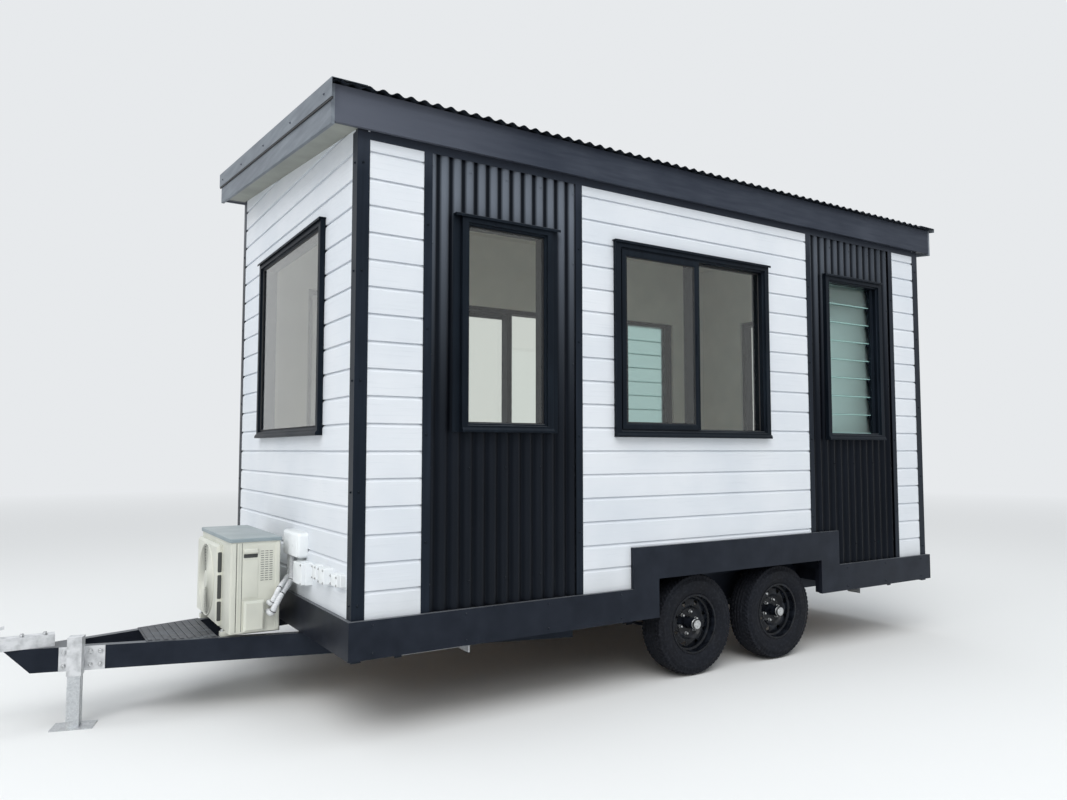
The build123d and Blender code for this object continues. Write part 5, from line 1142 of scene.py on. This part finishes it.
def on_sides(xs, y, zs):
    """Places on the near and on the far side, each list with its aim."""
    return [(grid_of(xs, side * y, zs), (0, side, 0)) for side in (-1, 1)]


def on_roof(xs, ys, off):
    """Places off metres above the roof sheet's underside."""
    places = grid_of(xs, ys, 0.0)
    places[:, 2] = roof_height(places[:, 1], off)
    return places


def scatter(name, shape, spots, finish, smooth=30):
    """Lays copies of a small shape as one piece. spots is a list of (places, aim)."""
    places = np.concatenate([where for where, aim in spots])
    aims = np.concatenate([np.broadcast_to(np.array(aim, float), where.shape) for where, aim in spots])
    lay(name, [stamped(shape, places, aims)], finish, smooth=smooth)


corner_inset = corner_trim * 0.45
trim_rows = board_edge + 0.070 + 4 * board_height * np.arange(5)
corner_spots = on_sides([front_x + corner_inset, rear_x - corner_inset], half_width + trim_sheet, trim_rows)
for x, aim in ((front_x - trim_sheet, (-1, 0, 0)), (rear_x + trim_sheet, (1, 0, 0))):
    corner_spots.append((grid_of(x, [corner_inset - half_width, half_width - corner_inset], trim_rows), aim))
scatter("corner_screws", screw, corner_spots, frame_coat)

strip_xs = [x for low, high in (panel_front, panel_rear) for x in (low + strip_half, high - strip_half)]
strip_rows = board_edge + 0.36 + 4 * board_height * np.arange(4)
scatter("strip_screws", screw, on_sides(strip_xs, half_width + trim_sheet, strip_rows), frame_coat)


# %% Screws on the crests of the wall and roof sheets
def crests(low, high, every):
    """X of every so many crests of a sheet that starts in a valley at low."""
    count = int((high - low - wave_pitch / 2) / wave_pitch) + 1
    return (low + wave_pitch / 2 + wave_pitch * np.arange(count))[::every]


crest_out = half_width - board_thickness + wave_depth + 0.0009
sheet_rows = board_edge + np.array([0.14, 0.74, 1.34, 1.94, 2.36])
beside, above, wall_spots = 0.02, 0.03, []
for span, window in ((panel_front, fixed_rect), (panel_rear, louvre_rect)):
    for places, aim in on_sides(crests(*span, 3), crest_out, sheet_rows):
        u0, u1, z0, z1 = door_rect if aim[1] > 0 and window is fixed_rect else window
        x, z = places[:, 0], places[:, 2]
        blocked = (x > u0 - beside) & (x < u1 + beside) & (z > z0 - above) & (z < z1 + above)
        wall_spots.append((places[~blocked], aim))
scatter("sheet_screws", screw, wall_spots, dark_sheet)

up_roof = (0, -roof_slope, 1)
roof_rows = [roof_low.y + 0.12, -0.62, 0.02, 0.66, roof_high.y - 0.14]
roof_spots = [(on_roof(crests(roof_low.x, roof_high.x, 2)[2:-2], roof_rows, wave_depth + 0.0010), up_roof)]
scatter("roof_screws", screw, roof_spots, nut_plate)

# %% Screws along the cappings, and a black strip under the foot of the front one: a painted shadow line
capping_low, capping_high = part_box("barge_cappings")
capping_rows = np.linspace(capping_low.y + 0.12, capping_high.y - 0.12, 5)
capping_spots = [
    (on_roof(capping_low.x, capping_rows, -0.040), (-1, 0, 0)),
    (on_roof(capping_high.x, capping_rows, 0.003), (1, 0, 0)),
    (on_roof([capping_low.x + 0.14, capping_high.x - 0.14], capping_rows, wave_depth + 0.0025), up_roof),
]
scatter("capping_screws", screw, capping_spots, trim_steel)

# Painted shadow: a thin black strip under the front capping's foot stands for the shadow line there.
shadow_line_inset, shadow_line_x, shadow_line_z = 0.003, [0.0020, 0.0094, 0.0094, 0.0020], np.array([0.0002, 0.0002, 0.0110, 0.0110])
shadow_line_y = np.array([[capping_low.y + shadow_line_inset], [capping_high.y - shadow_line_inset]])
shadow_line_points = np.broadcast_arrays(
    capping_low.x + np.array(shadow_line_x), shadow_line_y, capping_low.z + (shadow_line_y - capping_low.y) * roof_slope - shadow_line_z
)
lay("capping_shadow_line", [skin(np.stack(shadow_line_points, -1), wrap_columns=True, caps=True)], seal_rubber)

# %% [markdown]
# ## Finishes for the solids that stay
#
# The folded trims, the boards under the eaves, the chassis and the floor are right as they are. They keep their
# meshes, and only their material slots are filled with the finishes above.

# %% Paint the solids
painted = {
    trim_steel: ["corner_trims", "panel_trims"],
    fascia_paint: ["fascias"],
    barge_sky_lit_paint: ["barge_boards", "barge_cappings"],
    soffit_painted_shade: ["soffits"],
    chassis_paint: [
        "chassis_frame", "drawbar_rails", "end_skirts", "skirt_near", "skirt_far", "axles", "springs",
        "steady_brackets", "wheel_boxes",
    ],
    worn_plate: ["drawbar_deck"],
    bright_zinc: ["coupling", "jack_sleeve"],
    zinc: ["jack_leg", "steady_near_front", "steady_near_rear", "steady_far_front", "steady_far_rear"],
    frame_coat: ["entry_door_frame"],
    box_white: ["entry_door", "wall_boxes"],
    casing_cream: ["condenser_casing", "condenser_guard"],
    lagging: ["line_set"],
    clear_glass: ["window_glass"],
    lining_paint: ["wall_near", "wall_far", "wall_front", "wall_rear", "roof_panel"],
    ply: ["floor_deck"],
}
for finish, names in painted.items():
    for name in names:
        slots = nodes[name].material_slots
        if not slots:
            nodes[name].data.materials.append(finish.material)
        for place in slots:
            place.material = finish.material
print("solids painted:", sum(len(names) for names in painted.values()))

# %% [markdown]
# ## Rounded plates and bent tubes
#
# Moulded boxes and folded covers have small round edges, and those edges are what catches the light. A rounded plate
# is a rectangle with round corners whose last few outlines draw in along a quarter circle, so its rim rolls over. A
# bent tube is a circle carried along a line of points: at each point it lies square to the line's direction.


# %% Plates and tubes
def outline(u0, u1, z0, z1, corner, inset, steps=5):
    """Points round a rectangle with round corners, moved in by an inset smaller than the corner's radius."""
    turn = (np.arange(4)[:, None] * math.pi / 2 + np.linspace(0, math.pi / 2, steps)).ravel()
    side, level = np.repeat([1, -1, -1, 1], steps), np.repeat([1, 1, -1, -1], steps)
    u = (u0 + u1) / 2 + side * ((u1 - u0) / 2 - corner) + (corner - inset) * np.cos(turn)
    z = (z0 + z1) / 2 + level * ((z1 - z0) / 2 - corner) + (corner - inset) * np.sin(turn)
    return u, z


def plates(rows, place, u_from=0.0, z_from=0.0):
    """One closed plate for each row of (u0, u1, z0, z1, out0, out1, corner, edge), measured from u_from and z_from.
    It goes from out0 to out1, and its outer rim is rounded: inset e(1 - cos t) while it rises by e sin t."""
    turn = np.linspace(0, math.pi / 2, 4)
    made = []
    for u0, u1, z0, z1, out0, out1, corner, edge in rows:
        rect = (u_from + u0, u_from + u1, z_from + z0, z_from + z1)
        insets = np.concatenate([[0.0], edge * (1 - np.cos(turn))])
        outs = np.concatenate([[out0], out1 - edge + edge * np.sin(turn)])
        u, z = np.stack([np.stack(outline(*rect, corner, inset)) for inset in insets], 1)
        made.append(skin(place(u, np.broadcast_to(outs[:, None], u.shape), z), wrap_columns=True, caps=True))
    return made


def tube(points, radius, sides=16, helper=(0.70, -0.70, 0.14)):
    """Round tube along a line of points, closed at both ends. radius may differ from point to point."""
    line = np.asarray(points, float)
    ahead = np.gradient(line, axis=0)
    ahead /= np.linalg.norm(ahead, axis=1, keepdims=True)
    side = np.cross(ahead, np.array(helper))
    side /= np.linalg.norm(side, axis=1, keepdims=True)
    turn = np.linspace(0, 2 * math.pi, sides, endpoint=False)[:, None]
    ring = np.cos(turn) * side[:, None] + np.sin(turn) * np.cross(ahead, side)[:, None]
    return skin(line[:, None] + np.broadcast_to(radius, len(line))[:, None, None] * ring, wrap_columns=True, caps=True)


def eased(corners, share=0.32, steps=9):
    """Line through corner points with each inner corner rounded: the parabola between the points a share of the
    shorter leg before the corner and after it."""
    corners = np.asarray(corners, float)
    at = corners[1:-1]
    legs = [corners[:-2] - at, corners[2:] - at]
    lengths = [np.linalg.norm(leg, axis=1, keepdims=True) for leg in legs]
    start, end = [(at + share * np.minimum(*lengths) * leg / length)[:, None] for leg, length in zip(legs, lengths)]
    t = np.linspace(0, 1, steps)[:, None]
    curve = (1 - t) ** 2 * start + 2 * t * (1 - t) * at[:, None] + t**2 * end
    return np.concatenate([corners[:1], curve.reshape(-1, 3), corners[-1:]])


# %% [markdown]
# ## Cooling unit
#
# The unit stands on the drawbar in front of the wall. Its casing solid has the fan panel, the fan's round mouth and
# the valve cover. What's missing is everything that makes it read as a machine: the close rings of the fan guard,
# the three blades behind them, the slots down the panel's flank, the hand recess and the louvres on its side, and a
# lid with a rolled rim.

# %% Where the unit's faces are
unit_length, unit_height = 0.275, 0.510
unit_front, unit_rear = from_front(-0.390), from_front(-0.390 + unit_length)
unit_near, unit_far, panel_flank = -0.380, 0.450, -0.165
unit_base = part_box("condenser_casing")[0].z + 0.025
unit_top = unit_base + unit_height
guard_low, guard_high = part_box("condenser_guard")
fan_centre = np.array([guard_high.x, (guard_low.y + guard_high.y) / 2, (guard_low.z + guard_high.z) / 2])


on_unit_side, on_panel_flank = facing(1, unit_near, -1), facing(1, panel_flank, -1)
on_unit_lid = facing(2, unit_top, 1)


def facing_fan(section, sides=72, closed=False):
    """Section of (depth behind the panel's face, radius) turned about the fan's axis."""
    return moved(turned(section, sides, 0, closed), fan_centre)


# %% Fan guard
wire, ring_depth, spoke_depth, spoke_from, spoke_length, spoke_half = 0.0018, 0.0035, 0.0012, 0.050, 0.162, 0.0016
wire_turn, spoke_turn = (np.linspace(0, 2 * math.pi, count, endpoint=False) for count in (6, 12))
ring_depths, ring_widths = wire * np.sin(wire_turn) - ring_depth, wire * np.cos(wire_turn)
ring_radii = np.arange(0.060, 0.201, 0.0092)
rings = [facing_fan(np.stack([ring_depths, radius + ring_widths], -1), closed=True) for radius in ring_radii]
spoke_aims = np.stack([np.zeros(12), np.cos(spoke_turn), np.sin(spoke_turn)], -1)
spoke = upright([(spoke_half, 0.0), (spoke_half, spoke_length)], 6)
guard_rim = [
    (0.0, 0.217), (-0.0035, 0.217), (-0.0058, 0.2145), (-0.0060, 0.209), (-0.0045, 0.2062), (0.0, 0.2052)
]
guard_hub = [(0.0, 0.0520), (-0.0040, 0.0520), (-0.0058, 0.0490), (-0.0060, 0.0300)]
guard_parts = rings + [
    stamped(spoke, fan_centre - [spoke_depth, 0, 0] + spoke_from * spoke_aims, spoke_aims),
    facing_fan(guard_rim, closed=True), facing_fan(guard_hub),
]
lay("fan_guard_rings", guard_parts, casing_cream, stands_for=["condenser_guard"], smooth=40)

# %% Fan and its mouth
blade_root, blade_reach, blade_sweep, blade_drop, blade_sheet = 0.040, 0.148, math.radians(96), 0.034, 0.003


def fan_blades():
    """Three blades: over 96 degrees each one runs 34 mm deeper, and its tip leads its root by a curve in the radius."""
    out = np.linspace(0, 1, 9)[None, :, None]
    share = np.linspace(0, 1, 13)[None, None, :]
    start = (np.arange(3) * 2 * math.pi / 3)[:, None, None]
    turn = start + blade_sweep * share + 0.55 * out ** 1.6
    depth = 0.030 + blade_drop * share * (0.55 + 0.45 * out)
    radius, turn, depth = np.broadcast_arrays(blade_root + blade_reach * out, turn, depth)
    face = fan_centre + np.stack([depth, radius * np.cos(turn), radius * np.sin(turn)], -1)
    return [sheet_of(blade, blade + [blade_sheet, 0.0, 0.0], np.ones((8, 12), bool)) for blade in face]


fan_boss = [(0.026, 0.0300), (0.022, 0.0400), (0.026, 0.0455), (0.072, 0.0470)]
fan_mouth = [
    (0.002, 0.2040), (0.0875, 0.2040), (0.0885, 0.2020), (0.0885, 0.0600), (0.0860, 0.0600), (0.0860, 0.2000),
    (0.002, 0.2020),
]
lay("fan_blades", fan_blades() + [facing_fan(fan_boss, 36)], slot_dark, smooth=40)
lay("fan_mouth", [facing_fan(fan_mouth, closed=True)], slot_dark, smooth=40)

# %% Lid, side panel, hand recess and louvres
strip = (0.008, unit_height - 0.012)
side_parts = plates([
    (0.004, 0.030, *strip, 0.0, 0.0035, 0.003, 0.002), (0.036, 0.046, *strip, 0.0, 0.0025, 0.002, 0.0015),
    (0.068, 0.150, 0.192, 0.402, 0.0, 0.0022, 0.006, 0.0015), (0.066, 0.150, 0.436, 0.468, 0.0, 0.0180, 0.0120, 0.0100),
    (unit_length - 0.030, unit_length - 0.006, *strip, 0.0, 0.0030, 0.003, 0.002),
], on_unit_side, unit_front, unit_base)
lay("unit_side_panels", side_parts, casing_cream, smooth=40)

lip = 0.007
lid = (unit_front - lip, unit_rear + lip, unit_near - lip, unit_far + lip, -lip, 0.0145, 0.014, 0.006)
lay("unit_lid", plates([lid], on_unit_lid), lid_paint, smooth=40)

slit_row = (-0.0090, 0.0090, -0.0014, 0.0014, 0.0, 0.0012, 0.0013, 0.0006)
slit = plates([slit_row], facing(2, 0.0, 1))[0]
slit_xs, slit_zs = unit_front + np.array([0.172, 0.196, 0.220]), unit_base + 0.285 + 0.0125 * np.arange(14)
dark_parts = [stamped(slit, grid_of(slit_xs, unit_near - 0.0004, slit_zs), (0, -1, 0))]
dark_parts += plates([
    (0.070, 0.146, 0.414, 0.436, -0.001, 0.0012, 0.005, 0.0005), (0.0305, 0.0335, *strip, 0.0, 0.0010, 0.0014, 0.0005),
    (0.0600, 0.0625, *strip, 0.0, 0.0010, 0.0012, 0.0005),
], on_unit_side, unit_front, unit_base)
flank_spans = ((0.040, 0.150), (0.165, 0.300), (0.315, 0.430))
flank_rows = [(-0.025, -0.003, low, high, 0.0, 0.0012, 0.006, 0.0006) for low, high in flank_spans]
dark_parts += plates(flank_rows, on_panel_flank, unit_front, unit_base)
lay("unit_slots", dark_parts, slot_dark, smooth=40)

# %% [markdown]
# ## Pipes and wall boxes
#
# Two lagged pipes leave the valves, climb across the gap and end in the cover on the wall. The lagging is a soft
# tube, so its radius swells and sinks a little along its length, and black ties pinch it. The boxes beside the cover
# are moulded: a base, a slightly smaller lid standing on it, and a screw near each corner.

# %% Lagged pipes with their ties
cover_left, cover_right, cover_foot = -0.510, -0.200, 0.227
pipe_parts, tie_parts = [], []
for radius, rise, share in ((0.017, 0.108, 0.68), (0.014, 0.160, 0.83)):
    valve_x, level, step = unit_rear - 0.066, unit_base + rise, 3 * radius
    bend_y = unit_near - 0.026 - step
    wall_x, wall_y = from_front(-0.030), cover_left + (cover_right - cover_left) * share
    line = eased([
        (valve_x, unit_near - 0.004, level), (valve_x, bend_y, level), (valve_x + step, bend_y, level + 2 * step),
        (wall_x, wall_y, level + 3 * step), (wall_x, wall_y, board_edge + cover_foot + 0.004),
    ])
    along = np.linspace(0, len(line) - 1, 90)
    line = np.stack([np.interp(along, np.arange(len(line)), line[:, axis]) for axis in range(3)], -1)
    pipe_parts.append(tube(line, radius * (1 + 0.05 * np.sin(along * 3.1) + 0.03 * np.sin(along * 7.7 + 1))))
    tie_parts += [tube(line[first:first + 3], radius * 1.09) for first in (22, 46, 66)]
lay("pipe_lagging_tubes", pipe_parts, lagging, stands_for=["line_set"], smooth=50)
lay("pipe_ties", tie_parts, seal_rubber, smooth=50)

# %% Cover and boxes on the front wall
cover_top, cover_depth, rib_half, lid_inset, screw_inset = 0.370, 0.060, 0.008, 0.003, 0.012
small_boxes = (
    (-0.600, -0.436, 0.086, 0.212, 0.062, 0.008), (-0.790, -0.716, 0.140, 0.222, 0.040, 0.006),
    (-0.958, -0.862, 0.138, 0.226, 0.052, 0.008), (-1.155, -1.045, 0.152, 0.216, 0.048, 0.006),
)
box_rows = [(cover_left, cover_right, cover_foot, cover_top, 0.0, cover_depth - 0.004, 0.022, 0.016)]
for middle in np.linspace(cover_left + 0.030, cover_right - 0.030, 10):
    ribs = (cover_foot + 0.004, cover_top - 0.010, cover_depth - 0.012, cover_depth)
    box_rows.append((middle - rib_half, middle + rib_half, *ribs, 0.006, 0.004))
box_spots = []
for u0, u1, z0, z1, depth, corner in small_boxes:
    lid_rect, (a0, a1, b0, b1) = shrunk((u0, u1, z0, z1), lid_inset), shrunk((u0, u1, z0, z1), screw_inset)
    box_rows.append((u0, u1, z0, z1, 0.0, depth * 0.62, corner, 0.003))
    box_rows.append((*lid_rect, depth * 0.60, depth, corner - 0.002, 0.0035))
    box_spots.append((grid_of(front_x - depth, [a0, a1], [board_edge + b0, board_edge + b1]), (-1, 0, 0)))
box_parts = plates(box_rows, on_front, z_from=board_edge)
lay("front_wall_boxes", box_parts, box_white, stands_for=["wall_boxes"], smooth=40)
scatter("box_screws", screw, box_spots, nut_plate)

# %% [markdown]
# ## Drawbar fittings, springs and skirts
#
# Bolts hold the clamp of the drop leg, the coupling and the unit's feet. Under the floor each axle is gripped to its
# spring by two U bolts between a pad and a plate. A hexagon bolt head with its washer is drawn once and copied to
# all of these places, aimed square to the face that it sits on.

# %% Bolt heads
bolt = upright([
    (0.0135, 0.0), (0.0135, 0.0022), (0.0096, 0.0024), (0.0100, 0.0032), (0.0100, 0.0092), (0.0084, 0.0105)
], 6)
leg_low, leg_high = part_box("jack_leg")
rail_low, rail_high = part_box("drawbar_rails")
rail_turn = math.radians(16.45)
along_rail = np.array([math.cos(rail_turn), -math.sin(rail_turn), 0.0])
off_rail = np.array([-math.sin(rail_turn), -math.cos(rail_turn), 0.0])
leg_middle = np.array([(leg_low.x + leg_high.x) / 2, (leg_low.y + leg_high.y) / 2, rail_low.z]) - 0.035 * off_rail
clamp_spots = [(run, level) for run in (-0.066, 0.062, 0.110) for level in (0.028, 0.098)]
clamp_places = np.array([leg_middle + run * along_rail + (0, 0, level) for run, level in clamp_spots])
coupling_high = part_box("coupling")[1]
coupling_places = grid_of(coupling_high.x - np.array([0.045, 0.150]), [-0.020, 0.020], rail_high.z + 0.062)
unit_middle, foot_half = (unit_near + unit_far) / 2, 0.2988
foot_ys = [unit_middle - foot_half, unit_middle + foot_half]
foot_places = grid_of([unit_front - 0.012, unit_rear + 0.012], foot_ys, unit_base)
bolt_spots = [(clamp_places, off_rail), (coupling_places, (0, 0, 1)), (foot_places, (0, 0, 1))]
scatter("bolt_heads", bolt, bolt_spots, nut_plate)

# %% U bolts, pads and plates at the springs
spring_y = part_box("springs")[1].y - 0.0225
u_half, u_foot, u_top, u_gap = 0.030, -0.078, 0.0305, 0.032
u_line = eased([(0, -u_half, u_foot), (0, -u_half, u_top), (0, u_half, u_top), (0, u_half, u_foot)], 0.30)
axle_xs = np.array([wheels["near", axle][0] for axle in ("front", "rear")])
u_places = grid_of(np.concatenate([axle_xs - u_gap, axle_xs + u_gap]), [-spring_y, spring_y], hub_height)
u_bolts = stamped(tube(u_line, 0.0055, 8, helper=(1.0, 0.0, 0.0)), u_places, (0, 0, 1), math.pi / 2)
pad_places = [(x, y) for x in axle_xs for y in (-spring_y, spring_y)]
pad_rows = [(x - 0.055, x + 0.055, y - 0.042, y + 0.042, -0.066, -0.058, 0.006, 0.002) for x, y in pad_places]
lay("spring_u_bolts", [u_bolts, *plates(pad_rows, facing(2, hub_height, 1))], zinc, smooth=40)

# %% Screws along the skirts
skirt_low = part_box("skirt_near")[0]
before_wheels = np.arange(from_front(0.10), from_front(1.70), 0.52)
behind_wheels = np.arange(from_front(3.78), rear_x, 0.46)
skirt_xs = np.concatenate([before_wheels, behind_wheels])
skirt_spots = on_sides(skirt_xs, -skirt_low.y, [skirt_low.z + 0.028, board_edge - 0.026])
scatter("skirt_screws", screw, skirt_spots, chassis_paint)

# %% [markdown]
# ## The entry door
#
# The door on the far side hangs on three hinges, and its lower panel has a raised field.

# %% Hinges and the raised field of the door
door_face = far_high.y - 0.020
leaf_left, leaf_right, leaf_foot = shrunk(door_rect, bar_width)[:3]
hinge = upright([
    (0.0, 0.0), (0.0075, 0.001), (0.0085, 0.003), (0.0085, 0.097), (0.0075, 0.099), (0.0, 0.100)
], 14)
hinge_places = grid_of(leaf_left - 0.002, door_face + 0.006, door_rect[2] + np.array([0.22, 1.02, 1.86]))
scatter("door_hinges", hinge, [(hinge_places, (0, 0, 1))], nut_plate, smooth=40)

field_margin = 0.135
field = (leaf_left + field_margin, leaf_right - field_margin, leaf_foot + 0.200, leaf_foot + 0.810)
field_parts = plates([(*field, 0.0, 0.008, 0.006, 0.005)], facing(1, door_face - 0.010, 1))
lay("door_field", field_parts, box_white, smooth=40)

# %% [markdown]
# ## Sizes and the end
#
# The last line prints how many triangles the new pieces have and the box round every shown piece.

# %% Print the triangle count and the box
low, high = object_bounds()
print("new triangles:", sum(shown_faces.values()), "visual box", [round(v, 3) for v in high - low])
